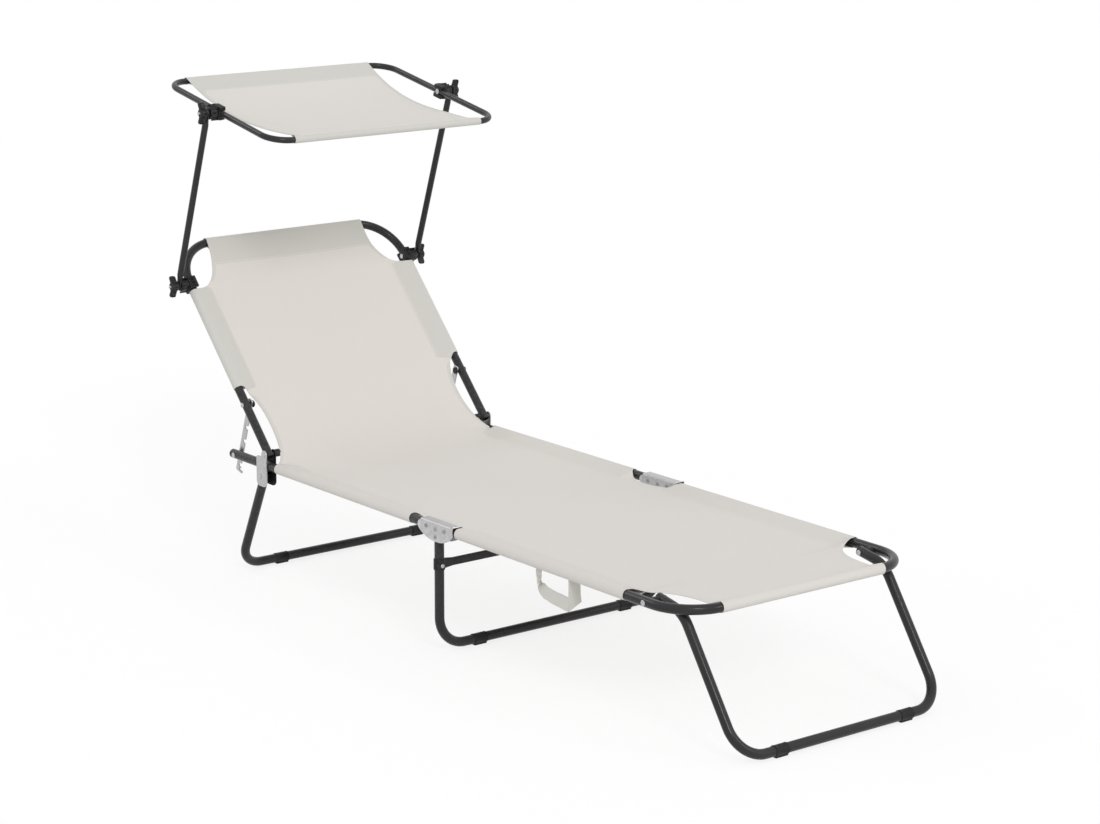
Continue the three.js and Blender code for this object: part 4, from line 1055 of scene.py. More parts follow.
def rack_outline():
    low = -RACK_AHEAD
    last = rack_reach(max(NOTCH_ANGLES)) + RACK_TAIL
    points = [(-RACK_HEAD, low, RACK_ROUND)]
    for reach in map(rack_reach, NOTCH_ANGLES):
        left = reach - NOTCH_WIDTH / 2
        right = reach + NOTCH_WIDTH / 2
        points += [(left, low, NOTCH_LIP), (left, NOTCH_DEPTH, RACK_ROUND),
                   (right, NOTCH_DEPTH, RACK_ROUND), (right, low, NOTCH_LIP)]
    hook = low + HOOK_DEPTH
    points += [(last - HOOK_LENGTH, low, NOTCH_LIP), (last - HOOK_LENGTH, hook, HOOK_ROUND),
               (last - HOOK_THICK, hook, HOOK_ROUND), (last - HOOK_THICK, low - HOOK_DROP, NOTCH_LIP),
               (last, low - HOOK_DROP, HOOK_ROUND), (last, RACK_BEHIND, RACK_ROUND),
               (-RACK_HEAD, RACK_BEHIND, RACK_ROUND)]
    return points


print("The rack's last notch lies", round(rack_reach(max(NOTCH_ANGLES)), 4), "m from its bolt")

# %% Racks and their bolts
RACK_THICK = 3 * MM
RACK_CLEAR = 1 * MM
RACK_CAP_R = 7.5 * MM
RACK_CAP_LENGTH = 4 * MM
RACK_OUTER = INNER_PLATE - RACK_CLEAR
RACK_INNER = RACK_OUTER - RACK_THICK

rack_lean = rise_of(rack_pivot, Vector((0, rack_pin.y, DECK_Z)))
rack_frame = leaning(Vector((0, rack_pivot.y, rack_pivot.z)), rack_lean)
at_bolt = Matrix.Translation((0, BOLT_ALONG, 0))
spacer_ends = (RACK_OUTER + FIT, RAIL_X - BACK_R - FIT)
for name, side in SIDES:
    bar = plate(rack_outline(), RACK_THICK)
    bmesh.ops.translate(bar, verts=bar.verts, vec=(RACK_INNER, 0, 0))
    finish_piece(on_side(bar, side), f"rack_bar_{name}", "zinc", f"rack_arm_{name}", [f"rack_{name}"],
                 rack_frame)
    pivot = bolt(RACK_INNER - RUN_FIT, RAIL_X + BACK_R + FIT, at_bolt)
    spacer = turned([(spacer_ends[0], RIVET_R), (spacer_ends[0], HEAD_R), (spacer_ends[1], HEAD_R),
                     (spacer_ends[1], RIVET_R)], at_bolt)
    cap = bolt_cap(RACK_INNER - RUN_FIT, RACK_CAP_R, RACK_CAP_LENGTH, at_bolt)
    for mesh, kind, slot, nodes in ((pivot, "pivot", "zinc", [f"rack_bolt_{name}"]),
                                    (spacer, "spacer", "plastic", []), (cap, "cap", "plastic", [])):
        finish_piece(on_side(mesh, side), f"rack_{kind}_{name}", slot, "backrest", nodes, back_frame)
print("Made both racks and their bolts")

# %% [markdown]
# ## Canopy clamps
# A clamp's block grips its tube and carries the arm's flat tongue. It is moulded with a round boss towards
# the knob and two jaws round the tube, with lightening slots between its ribs. The block here is a
# turned boss joined to a bevelled body, with raised ribs on the body.

# %% Clamp blocks
CLAMP_LENGTH = 31 * MM
CLAMP_HEIGHT = 28 * MM
CLAMP_ROUND = 2 * MM
ARM_OUT = RAIL_X + 30 * MM
TONGUE = 5 * MM
JAW_DEPTH = 6 * MM
JAW_ROUND = 1.4 * MM
JAW_WIDTH_SHARE = 0.86
JAW_OPEN_SHARE = 0.82
BOSS_R = 12.348 * MM
BOSS_END_R = 10.976 * MM
BOSS_CHAMFER = 1.5 * MM
RIB = 1.6 * MM
RIB_COUNT = 3
RIB_PITCH = CLAMP_LENGTH / (RIB_COUNT + 0.4)
RIB_ROUND = 0.48 * MM
RIB_SHORT = 2 * MM


def block(low, high, width, steps=3):
    """A box between two opposite corners, with rounded edges."""
    bm = bmesh.new()
    bmesh.ops.create_cube(bm, size=1)
    bmesh.ops.scale(bm, vec=Vector(high) - Vector(low), verts=bm.verts)
    bmesh.ops.translate(bm, verts=bm.verts, vec=(Vector(low) + Vector(high)) / 2)
    bevel(bm, bm.edges[:], width, steps)
    return bm


def clamp_block(tube_x, tube_r):
    inner = tube_x - tube_r - CLAMP_ROUND / 2
    mid = tube_x + tube_r + CLAMP_ROUND
    outer = ARM_OUT - TONGUE / 2 - FIT
    half_y = CLAMP_LENGTH / 2
    half_z = CLAMP_HEIGHT / 2
    bm = block((inner + JAW_DEPTH, -half_y, -half_z), (mid, half_y, half_z), CLAMP_ROUND)
    jaw_y = half_y * JAW_WIDTH_SHARE
    for low, high in ((-half_z, -tube_r * JAW_OPEN_SHARE), (tube_r * JAW_OPEN_SHARE, half_z)):
        add_to(bm, block((inner, -jaw_y, low), (mid - JAW_DEPTH, jaw_y, high), JAW_ROUND))
    boss_in = mid - JAW_DEPTH
    add_to(bm, turned([(boss_in, 0), (boss_in, BOSS_R), (outer - BOSS_CHAMFER, BOSS_R), (outer, BOSS_END_R),
                       (outer, 0)]))
    for index in range(RIB_COUNT):
        y = (index - (RIB_COUNT - 1) / 2) * RIB_PITCH
        rib_z = half_z + RIB / 2
        add_to(bm, block((inner + JAW_DEPTH, y - RIB / 2, -rib_z), (outer - RIB_SHORT, y + RIB / 2, rib_z),
                         RIB_ROUND, steps=2))
    return bm


print("The arms stand", round(ARM_OUT - RAIL_X, 4), "m outside the rails")

# %% Clamps and their bolts
BOLT_R = 3 * MM
BOLT_HEAD_R = 5.8 * MM
BOLT_HEAD = 2.4 * MM
BOLT_END = 1.5 * MM
BOLT_CHAMFER = 0.6 * MM
KNOB_IN = ARM_OUT + TONGUE / 2 + RUN_FIT
KNOB_LENGTH = 18 * MM


def clamp_bolt(tube_x, tube_r):
    inner = tube_x - tube_r - FIT
    outer = KNOB_IN + KNOB_LENGTH + BOLT_END
    profile = dome(inner, BOLT_HEAD_R, BOLT_HEAD, -1)[::-1]
    profile += [(inner, BOLT_R), (outer - BOLT_CHAMFER, BOLT_R), (outer, BOLT_R - BOLT_CHAMFER), (outer, 0)]
    return turned(profile)


clamp_spots = (
    ("lower", RAIL_X, BACK_R, back_frame @ Matrix.Translation((0, CLAMP_ALONG, 0)), "backrest"),
    ("upper", CANOPY_X, CANOPY_R, canopy_frame, "canopy"),
)
for level_name, tube_x, tube_r, at_clamp, body in clamp_spots:
    for name, side in SIDES:
        place = at_clamp @ Matrix.Diagonal((side, 1, 1, 1))
        finish_piece(clamp_block(tube_x, tube_r), f"{level_name}_clamp_body_{name}", "plastic", body,
                     [f"{level_name}_clamp_{name}"], place)
        finish_piece(clamp_bolt(tube_x, tube_r), f"{level_name}_clamp_bolt_{name}", "zinc", body,
                     [f"{level_name}_bolt_{name}"], place)
print("Made four clamps and their bolts")

# %% [markdown]
# A wing knob is a turned hub with two wings, up and down, that flare outwards to the finger tips. Each
# wing is a thick plate in outline, well rounded, and the hub has shallow flutes for grip. Both outlines
# are drawn in millimetres.

# %% Wing knobs
# Out from the arm, and the radius
HUB_PROFILE = ((0, 0), (0, 8.61), (1, 9.66), (6, 8.19), (13.5, 9.66), (15, 7.875), (15, 3), (14, 0))
# Out from the arm, away from the bolt, and the corner's radius
WING_OUTLINE = ((0, 2, 0), (14, 2, 0), (15.6, 10.125, 4), (18, 18, 3), (16.8, 22.5, 3), (7, 22.5, 2.5),
                (5, 16.875, 3), (2, 8.4, 2))
WING_THICK = 9 * MM
WING_ROUND = 1.56 * MM
FLUTES = 10
FLUTE_R = 1.1 * MM
FLUTE_RING = 8.82 * MM
FLUTE_ENDS = (1 * MM, 13 * MM)
FLUTE_STEPS = 8


def wing_knob():
    bm = turned([(out * MM, radius * MM) for out, radius in HUB_PROFILE])
    turn = Matrix.Rotation(-QUARTER_TURN, 4, "Z") @ Matrix.Translation((-WING_THICK / 2, 0, 0))
    for way in (-1, 1):
        outline = [(out * MM, way * away * MM, radius * MM) for out, away, radius in WING_OUTLINE]
        wing = plate(outline, WING_THICK, WING_ROUND, rim_steps=3)
        bmesh.ops.transform(wing, matrix=turn, verts=wing.verts)
        add_to(bm, wing)
    start, end = FLUTE_ENDS
    for index in range(FLUTES):
        angle = FULL_TURN * (index + 0.5) / FLUTES
        place = Matrix.Translation((0, math.cos(angle) * FLUTE_RING, math.sin(angle) * FLUTE_RING))
        flute = [(start, 0), (start, FLUTE_R), (end, FLUTE_R), (end, 0)]
        add_to(bm, turned(flute, place, FLUTE_STEPS))
    return bm


for level_name, pivot in (("lower", ARM_PIVOT), ("upper", CANOPY_PIVOT)):
    for name, side in SIDES:
        place = Matrix.Translation((side * KNOB_IN, pivot.y, pivot.z)) @ Matrix.Diagonal((side, 1, 1, 1))
        finish_piece(wing_knob(), f"{level_name}_wing_knob_{name}", "plastic", f"knob_{level_name}_{name}",
                     [f"{level_name}_knob_{name}"], place, crisp=40)
print("Made four wing knobs")

# %% [markdown]
# A canopy arm is a slim tube whose ends are pressed flat into tongues. Pressing a tube keeps its
# girth, so the tongue is wider than the tube. The rings near the ends are squeezed in X and spread in Z,
# with a smooth step over the crushed stretch. A small rivet sits where each tongue ends.

# %% Canopy arms
ARM_R = 6.75 * MM
TONGUE_WIDTH = 16 * MM
TONGUE_RUN = 20 * MM
CRUSH_RUN = 16 * MM
ARM_CUTS = 60
ARM_MERGE = 0.01 * MM
ARM_RIVET_IN = 24 * MM
STUD_R = 2.6 * MM
STUD_HEIGHT = 1.2 * MM
STUD_FACE = 0.62 * ARM_R


def smooth_step(value):
    share = min(1.0, max(0.0, value))
    return share * share * (3 - 2 * share)


def canopy_arm():
    bm = bmesh.new()
    half = TONGUE_WIDTH / 2
    aim = Matrix.Translation((0, -half, 0)) @ Matrix.Rotation(-QUARTER_TURN, 4, "X")
    bmesh.ops.create_circle(bm, segments=TUBE_SIDES, radius=ARM_R, matrix=aim)
    start = bm.edges[:]
    end = pull(bm, start, Vector((0, ARM_LENGTH + 2 * half, 0)))
    bmesh.ops.contextual_create(bm, geom=start)
    bmesh.ops.contextual_create(bm, geom=end)
    long_edges = [edge for edge in bm.edges if abs(edge.verts[0].co.y - edge.verts[1].co.y) > half]
    bmesh.ops.subdivide_edges(bm, edges=long_edges, cuts=ARM_CUTS, use_grid_fill=True)
    for vert in bm.verts:
        inside = min(vert.co.y, ARM_LENGTH - vert.co.y)
        crushed = 1 - smooth_step((inside - TONGUE_RUN + CRUSH_RUN / 2) / CRUSH_RUN)
        vert.co.x *= 1 + crushed * (TONGUE / 2 / ARM_R - 1)
        vert.co.z *= 1 + crushed * (half / ARM_R - 1)
        if inside < 0:
            vert.co.z *= math.sqrt(max(0.0, 1 - (inside / half) ** 2))
    bmesh.ops.remove_doubles(bm, verts=bm.verts, dist=ARM_MERGE)
    return bm


stud_profile = dome(-STUD_FACE, STUD_R, STUD_HEIGHT, -1)[::-1] + dome(STUD_FACE, STUD_R, STUD_HEIGHT, 1)
for name, side in SIDES:
    finish_piece(canopy_arm(), f"arm_tube_{name}", "steel", "canopy_arms", [f"canopy_arm_{name}"],
                 arm_frame @ Matrix.Translation((side * ARM_OUT, 0, 0)))
    for along in (ARM_RIVET_IN, ARM_LENGTH - ARM_RIVET_IN):
        stud = turned(stud_profile, Matrix.Translation((side * ARM_OUT, along, 0)))
        finish_piece(stud, f"arm_rivet_{name}_{round(along / MM)}", "zinc", "canopy_arms", (), arm_frame)
print("Made two canopy arms", round(ARM_LENGTH, 4), "m between their bolts")

# %% [markdown]
# ## Shoes, collars and brace
# The shoes are short black sleeves pushed onto the bars, hardly thicker than the tube, with a pad that
# reaches down to the floor. The sleeve is turned and the pad is a bevelled block under it.

# %% Shoes
SHOE_R = 10.9 * MM
SHOE_LENGTH = 31 * MM
SHOE_ROUND = 0.7 * MM
SHOE_LIP = 1 * MM
SHOE_RELIEF = 0.3 * MM
PAD_HALF_X = 15 * MM
PAD_HALF_Y = 7 * MM
PAD_TOP = -6 * MM
PAD_ROUND = 1.8 * MM
PUSH_FIT = FIT / 3


def shoe():
    half = SHOE_LENGTH / 2
    profile = [(-half, LEG_R + PUSH_FIT), (-half, SHOE_R - SHOE_ROUND), (-half + SHOE_ROUND, SHOE_R),
               (-half + 2 * SHOE_LIP, SHOE_R), (-half + 3 * SHOE_LIP, SHOE_R - SHOE_RELIEF)]
    profile += [(-along, radius) for along, radius in profile[::-1]]
    pad = block((-PAD_HALF_X, -PAD_HALF_Y, -FLOOR_GAP), (PAD_HALF_X, PAD_HALF_Y, PAD_TOP), PAD_ROUND)
    return add_to(turned(profile, steps=ROUND_STEPS), pad)


for leg, body in (("front", "front_leg_loop"), ("mid", "mid_hinge"), ("rear", "rear_leg_loop")):
    for name, side in SIDES:
        centre = middle(f"{leg}_shoe_{name}")
        place = Matrix.Translation((centre.x, centre.y, FLOOR_GAP))
        finish_piece(shoe(), f"{leg}_foot_{name}", "plastic", body, [f"{leg}_shoe_{name}"], place)
print("Made six shoes")

# %% [markdown]
# The middle leg is stiffened by a brace whose ends sit in black collars. The brace is a tube pressed flat,
# so it is modelled as a bar with its long edges fully rounded, a little wider at both ends.

# %% Brace
BRACE_WIDTH = 16 * MM
BRACE_THICK = 6 * MM
BRACE_RIM = 1.8 * MM
BRACE_FLARE = 21 * MM
EAR_IN = 22 * MM
EAR_ROUND = 2 * MM
WAIST_ROUND = 20 * MM
BRACE_Z = middle("mid_leg_brace").z

brace_half = RAIL_X - LEG_R - FIT
brace_edge = [(-brace_half, BRACE_FLARE / 2, EAR_ROUND), (EAR_IN - brace_half, BRACE_WIDTH / 2, WAIST_ROUND),
              (brace_half - EAR_IN, BRACE_WIDTH / 2, WAIST_ROUND), (brace_half, BRACE_FLARE / 2, EAR_ROUND)]
brace = plate([(y, -z, radius) for y, z, radius in brace_edge] + brace_edge[::-1], BRACE_THICK, BRACE_RIM)
across_legs = Matrix.Translation((0, MID_LEG_Y - BRACE_THICK / 2, BRACE_Z))
finish_piece(brace, "brace_bar", "steel", "mid_hinge", ["mid_leg_brace"],
             across_legs @ Matrix.Rotation(QUARTER_TURN, 4, "Z"))
print("Made the brace", round(2 * brace_half, 4), "m long")

# %% Collars
COLLAR_R = 11.8 * MM
COLLAR_LENGTH = 22 * MM
COLLAR_LIP = 0.9 * MM
COLLAR_RIM = 1.2 * MM
COLLAR_RELIEF = 0.4 * MM
COLLAR_RIVET_R = 4.2 * MM
COLLAR_RIVET_HEIGHT = 1.9 * MM
COLLAR_RIVET_DROP = 2 * MM

half = COLLAR_LENGTH / 2
collar_edge = [(half - COLLAR_LIP, COLLAR_R - COLLAR_RELIEF), (half, COLLAR_R - COLLAR_RIM),
               (half, LEG_R + PUSH_FIT)]
collar_profile = [(-along, radius) for along, radius in collar_edge[::-1]] + collar_edge
upright = Matrix.Translation((RAIL_X, MID_LEG_Y, BRACE_Z)) @ Matrix.Rotation(QUARTER_TURN, 4, "Y")
head = COLLAR_R - COLLAR_LIP
for name, side in SIDES:
    collar = on_side(turned(collar_profile, upright, ROUND_STEPS), side)
    finish_piece(collar, f"collar_{name}", "plastic", "mid_hinge", [f"brace_collar_{name}"])
    at_collar = Matrix.Translation((side * RAIL_X, MID_LEG_Y, BRACE_Z - COLLAR_RIVET_DROP))
    stud = turned([(head, 0)] + dome(head, COLLAR_RIVET_R, COLLAR_RIVET_HEIGHT, 1),
                  at_collar @ Matrix.Rotation(-QUARTER_TURN, 4, "Z"))
    finish_piece(stud, f"collar_rivet_{name}", "zinc", "mid_hinge")
print("Made two collars and their rivets")

# %% [markdown]
# ## The sling cloth
# The cloth is one length of woven polyester from the backrest's top bar to the foot bar. Along the rails
# it is folded round the tube and sewn to itself, and it is cut away round the pivots, the hinges and the
# corners. It is modelled as a flat grid that is bent to the line of the deck, and every point of the
# grid knows how far along the cloth and how far across it lies, which is also its UV.
#
# The line of the deck comes first. Seen from the side, the backrest's plane and the seat's plane meet at a
# corner. The taut cloth rounds that corner off, more in the middle than at the rails.

# %% The line of the deck
deck_corner = Vector((0, BACK_PIVOT.y - PIVOT_RISE / math.tan(BACK_ANGLE), DECK_Z))
PIVOT_ALONG = (BACK_PIVOT - deck_corner).length
back_way = Vector((0, math.cos(BACK_ANGLE), math.sin(BACK_ANGLE)))
seat_way = Vector((0, -1, 0))
back_normal = Vector((0, -math.sin(BACK_ANGLE), math.cos(BACK_ANGLE)))
seat_normal = Vector((0, 0, 1))
SEAT_SLEEVE_Y = BACK_PIVOT.y - 36 * MM
REACH_EDGE = deck_corner.y - SEAT_SLEEVE_Y
REACH_MIDDLE = 130 * MM
REACH_UP = 130 * MM


def deck_line(along, x):
    """The place and the normal of the deck at a distance along the cloth, from the corner up the backrest."""
    centred = max(0.0, 1 - (abs(x) / RAIL_X) ** 3)
    reach_down = REACH_EDGE + (REACH_MIDDLE - REACH_EDGE) * centred
    if along >= REACH_UP:
        return deck_corner + back_way * along, back_normal
    if along <= -reach_down:
        return deck_corner - seat_way * along, seat_normal
    share = (REACH_UP - along) / (REACH_UP + reach_down)
    top = deck_corner + back_way * REACH_UP
    bottom = deck_corner + seat_way * reach_down
    place = top * (1 - share) ** 2 + deck_corner * 2 * share * (1 - share) + bottom * share ** 2
    return place, (back_normal * (1 - share) + seat_normal * share).normalized()


def along_of_y(y):
    return y - deck_corner.y


print("The deck's corner lies", round(PIVOT_ALONG, 4), "m below the backrest's pivot")

# %% [markdown]
# The edge of the cloth follows. Where there is a sleeve, the edge of the flat part is the line where the
# cloth leaves the tube. Between the sleeves it is cut back in smooth hollows, and round the frame's
# corners in a quarter of a curve. Each is a formula of the distance along the cloth.

# %% The cloth's edge
SEAM_IN = 45 * MM
CLOTH = 0.9 * MM
SLEEVE_OFF = 1.3 * MM
TOP_BAR = PIVOT_ALONG + BACK_LENGTH
TOP_SLEEVE_END = PIVOT_ALONG + CLAMP_ALONG - CLAMP_LENGTH / 2 - 3 * MM
BACK_SLEEVE_END = PIVOT_ALONG + 163 * MM
PIVOT_CUT_END = PIVOT_ALONG - 12 * MM
SEAT_SLEEVE_TOP = along_of_y(SEAT_SLEEVE_Y)
SEAT_SLEEVE_END = along_of_y(SEAT_HINGE.y + 58 * MM)
FOOT_SLEEVE_Y = FOOT_HINGE.y - 31 * MM
FOOT_SLEEVE_TOP = along_of_y(FOOT_SLEEVE_Y)
FOOT_SLEEVE_END = along_of_y(FOOT_BAR_Y + 156.5 * MM)
FOOT_HOLLOW_END = along_of_y(FOOT_BAR_Y + 30 * MM)
FOOT_BAR = along_of_y(FOOT_BAR_Y)
SLEEVES = ((TOP_SLEEVE_END, BACK_SLEEVE_END), (SEAT_SLEEVE_TOP, SEAT_SLEEVE_END),
           (FOOT_SLEEVE_TOP, FOOT_SLEEVE_END))
TOP_EDGE_X = RAIL_X - BACK_CORNER + 14 * MM
FOOT_EDGE_X = RAIL_X - FOOT_CORNER + 6 * MM
CORNER_POWER = 1.16
PIVOT_CUT = 32 * MM
PIVOT_CUT_POWER = 0.6
HINGE_CUT = 30 * MM
HINGE_CUT_POWER = 0.75


def sleeve_edge(radius):
    """Where the cloth leaves a tube: how far in from its centre line, how far above it, and the angle."""
    outer = radius + SLEEVE_OFF
    lean = math.acos(outer / SEAM_IN)
    return outer * math.cos(lean), outer * math.sin(lean), lean


def corner_edge(share, narrow, wide):
    """The cut round a corner of the frame, narrow at the bar and wide where the sleeve begins."""
    share = min(1.0, max(0.0, share))
    return narrow + (wide - narrow) * (1 - math.sqrt(1 - share ** 2)) ** CORNER_POWER


def hollow_edge(share, wide, depth, power):
    """The cut between two sleeves, deepest halfway."""
    return wide - depth * max(0.0, math.sin(math.pi * share)) ** power


def cloth_edge(along):
    """(half width of the flat cloth, tube radius of the sleeve there or 0)."""
    back_x = RAIL_X - sleeve_edge(BACK_R)[0]
    rail_x = RAIL_X - sleeve_edge(RAIL_R)[0]
    if along > TOP_SLEEVE_END:
        return corner_edge((TOP_BAR - along) / (TOP_BAR - TOP_SLEEVE_END), TOP_EDGE_X, back_x), 0
    if along >= BACK_SLEEVE_END:
        return back_x, BACK_R
    if along > SEAT_SLEEVE_TOP:
        share = min(1.0, (BACK_SLEEVE_END - along) / (BACK_SLEEVE_END - PIVOT_CUT_END))
        return hollow_edge(share, rail_x, PIVOT_CUT, PIVOT_CUT_POWER), 0
    if along >= SEAT_SLEEVE_END:
        return rail_x, RAIL_R
    if along > FOOT_SLEEVE_TOP:
        share = (SEAT_SLEEVE_END - along) / (SEAT_SLEEVE_END - FOOT_SLEEVE_TOP)
        return hollow_edge(share, rail_x, HINGE_CUT, HINGE_CUT_POWER), 0
    if along >= FOOT_SLEEVE_END:
        return rail_x, RAIL_R
    share = (along - FOOT_HOLLOW_END) / (FOOT_SLEEVE_END - FOOT_HOLLOW_END)
    return corner_edge(share, FOOT_EDGE_X, rail_x), 0


print("Cloth edge at the hinge", round(cloth_edge(along_of_y(HINGE_Y))[0], 4), "m out")

# %% [markdown]
# The rows of the grid are laid so that one falls on each end of a sleeve, and they crowd together where
# the edge turns quickly. A stretch is divided evenly, or by a sine so that the rows are close together
# at one end or at both.

# %% Rows along the cloth
TOP_SEAM_IN = 56 * MM
FOOT_SEAM_IN = 30 * MM
SPLIT_SEAT = along_of_y(BACK_PIVOT.y - 290 * MM)
SPLIT_HINGE = along_of_y(HINGE_Y)
STEP_OFF = 0.2 * MM
EASES = {
    "nowhere": lambda share: share,
    "start": lambda share: 1 - math.cos(math.pi / 2 * share),
    "end": lambda share: math.sin(math.pi / 2 * share),
    "both": lambda share: (1 - math.cos(math.pi * share)) / 2,
}


def rows_from(start, end, count, crowded="nowhere"):
    """A number of rows from start to just before end, close together where they are crowded."""
    return [start + (end - start) * EASES[crowded](index / count) for index in range(count)]


back_rows = (
    rows_from(TOP_BAR, TOP_BAR - TOP_SEAM_IN, 8)
    + rows_from(TOP_BAR - TOP_SEAM_IN, TOP_SLEEVE_END, 14, "end")
    + [TOP_SLEEVE_END + STEP_OFF]
    + rows_from(TOP_SLEEVE_END, BACK_SLEEVE_END, 16)
    + [BACK_SLEEVE_END]
    + rows_from(BACK_SLEEVE_END - STEP_OFF, PIVOT_CUT_END, 30, "both")
    + rows_from(PIVOT_CUT_END, SEAT_SLEEVE_TOP, 3)
    + rows_from(SEAT_SLEEVE_TOP, SPLIT_SEAT, 18)
    + [SPLIT_SEAT]
)
seat_rows = (
    rows_from(SPLIT_SEAT, SEAT_SLEEVE_END, 12)
    + [SEAT_SLEEVE_END]
    + rows_from(SEAT_SLEEVE_END - STEP_OFF, SPLIT_HINGE, 12, "start")
    + [SPLIT_HINGE]
)
foot_rows = (
    rows_from(SPLIT_HINGE, FOOT_SLEEVE_TOP + STEP_OFF, 12, "end")
    + [FOOT_SLEEVE_TOP + STEP_OFF]
    + rows_from(FOOT_SLEEVE_TOP, FOOT_SLEEVE_END, 20)
    + [FOOT_SLEEVE_END]
    + rows_from(FOOT_SLEEVE_END - STEP_OFF, FOOT_BAR + FOOT_SEAM_IN, 16, "start")
    + rows_from(FOOT_BAR + FOOT_SEAM_IN, FOOT_BAR, 6)
    + [FOOT_BAR]
)
print("Rows on the backrest, seat and foot cloth:", len(back_rows), len(seat_rows), len(foot_rows))

# %% [markdown]
# The columns run from rail to rail. A row of the grid is stretched to the cloth's width there. The points
# beyond the seam climb to the top of the tube. Between them the cloth hangs a few millimetres low,
# because even a taut sling sags under its own weight.

# %% Columns and heights
INNER_COLUMNS = 12
OUTER_COLUMNS = 4
INNER_SHARE = 0.9
SAG = 4.5 * MM
HEM = 9 * MM
SEAM_OFF = 60 * MM
SEWN = 20 * MM
UNDER_GAP = 0.3 * MM
SLEEVE_RAMP = 22 * MM
SEAM_X = RAIL_X - SEAM_IN
SIDE_CLIMB = SEAM_IN - RAIL_R - SLEEVE_OFF
columns = ([index / INNER_COLUMNS for index in range(INNER_COLUMNS)]
           + [1 + index / OUTER_COLUMNS for index in range(OUTER_COLUMNS + 1)])
columns = [-value for value in columns[:0:-1]] + columns


def column_x(column, edge):
    """Columns 0 to 1 reach the seam, and 1 to 2 the edge."""
    inner = min(SEAM_X, edge * INNER_SHARE)
    reach = abs(column)
    x = inner * reach if reach <= 1 else inner + (edge - inner) * (reach - 1)
    return math.copysign(x, column)


def sleeve_share(along):
    """1 where the sides are held up on the tubes, falling off past a sleeve's end."""
    away = min(max(0.0, along - high, low - along) for high, low in SLEEVES)
    return 1 - smooth_step(away / SLEEVE_RAMP)


def bar_share(along):
    """1 on the top and foot bars, falling to 0 at their seams."""
    top = (along - TOP_BAR + TOP_SEAM_IN) / TOP_SEAM_IN
    foot = (FOOT_BAR + FOOT_SEAM_IN - along) / FOOT_SEAM_IN
    return min(1.0, max(0.0, top, foot))


def cloth_height(along, x, edge):
    radius = BACK_R if along > 0 else RAIL_R
    top = sleeve_edge(radius)[1]
    side = top * min(1.0, max(0.0, (abs(x) - SEAM_X) / SIDE_CLIMB)) * sleeve_share(along)
    bar = (radius + SLEEVE_OFF) * bar_share(along)
    middle_share = max(0.0, 1 - (x / edge) ** 2) * (1 - bar_share(along))
    return max(side, bar) - SAG * middle_share + CLOTH / 2


def under_seam(along, x, edge):
    """The height of a layer that lies close under the cloth at a seam."""
    return cloth_height(along, x, edge) - CLOTH - UNDER_GAP


def past_seam(along, x, edge):
    """The distance past the nearest seam, above 0 where the cloth is sewn double."""
    held = sleeve_share(along)
    side = abs(x) - SEAM_X - SEAM_OFF * (1 - held)
    cut = abs(x) - edge + HEM - SEAM_OFF * held
    top = along - TOP_BAR + TOP_SEAM_IN
    foot = FOOT_BAR + FOOT_SEAM_IN - along
    return max(side, cut, top, foot)


print("Columns:", len(columns))

# %% [markdown]
# A grid from create_grid has a point for each row and column. Each point is moved to its place, and its
# distance across and along are kept for the UV map, beside its distance past the seam. A sleeve is
# another grid that shares the flat part's edge: it goes round the tube or bar and back under the cloth
# to the seam. Merging the points that meet joins the two.

# %% The flat grid
def mapped_grid(rows, count, spot):
    """A grid of rows by columns whose points go to spot(row, column) = (place, across, along, past seam)."""
    bm = bmesh.new()
    bmesh.ops.create_grid(bm, x_segments=count - 1, y_segments=rows - 1, size=1)
    uv_layer = bm.loops.layers.uv.new("cloth")
    seam_layer = bm.verts.layers.float.new("past_seam")
    marks = {}
    for vert in bm.verts:
        column = round((vert.co.x + 1) / 2 * (count - 1))
        row = round((vert.co.y + 1) / 2 * (rows - 1))
        place, across, along, past = spot(row, column)
        vert.co = place
        vert[seam_layer] = past
        marks[vert] = (across, along)
    for face in bm.faces:
        for loop in face.loops:
            loop[uv_layer].uv = marks[loop.vert]
    return bm


def flat_cloth(rows):
    def spot(row, column):
        along = rows[row]
        edge = cloth_edge(along)[0]
        x = column_x(columns[column], edge)
        place, normal = deck_line(along, x)
        place = place + normal * cloth_height(along, x, edge) + Vector((x, 0, 0))
        return place, x, along, past_seam(along, x, edge)

    return mapped_grid(len(rows), len(columns), spot)


# %% The sleeves
SLEEVE_ARC = 14
SLEEVE_FLAT = 4
BAR_FLAT = 8
HEM_CLOSE = 0.35


def side_sleeve(rows, side):
    """The cloth round a side tube, from the flat part's edge over the tube and back under it to the seam."""
    def spot(row, column):
        along = rows[row]
        edge, radius = cloth_edge(along)
        outer = radius + SLEEVE_OFF
        lean = sleeve_edge(radius)[2]
        sweep = 2 * (math.pi - lean)
        place, normal = deck_line(along, RAIL_X)
        share = min(1.0, column / SLEEVE_ARC)
        back = max(0, column - SLEEVE_ARC) / SLEEVE_FLAT
        angle = lean + sweep * share
        x = RAIL_X - outer * math.cos(angle)
        x += (SEAM_X - x) * back
        height = outer * math.sin(angle) + CLOTH / 2
        height += (under_seam(along, SEAM_X, edge) - height) * back
        across = edge + outer * sweep * share + SEAM_IN * back
        return place + normal * height + Vector((side * x, 0, 0)), side * across, along, SEWN

    return mapped_grid(len(rows), SLEEVE_ARC + SLEEVE_FLAT + 1, spot)


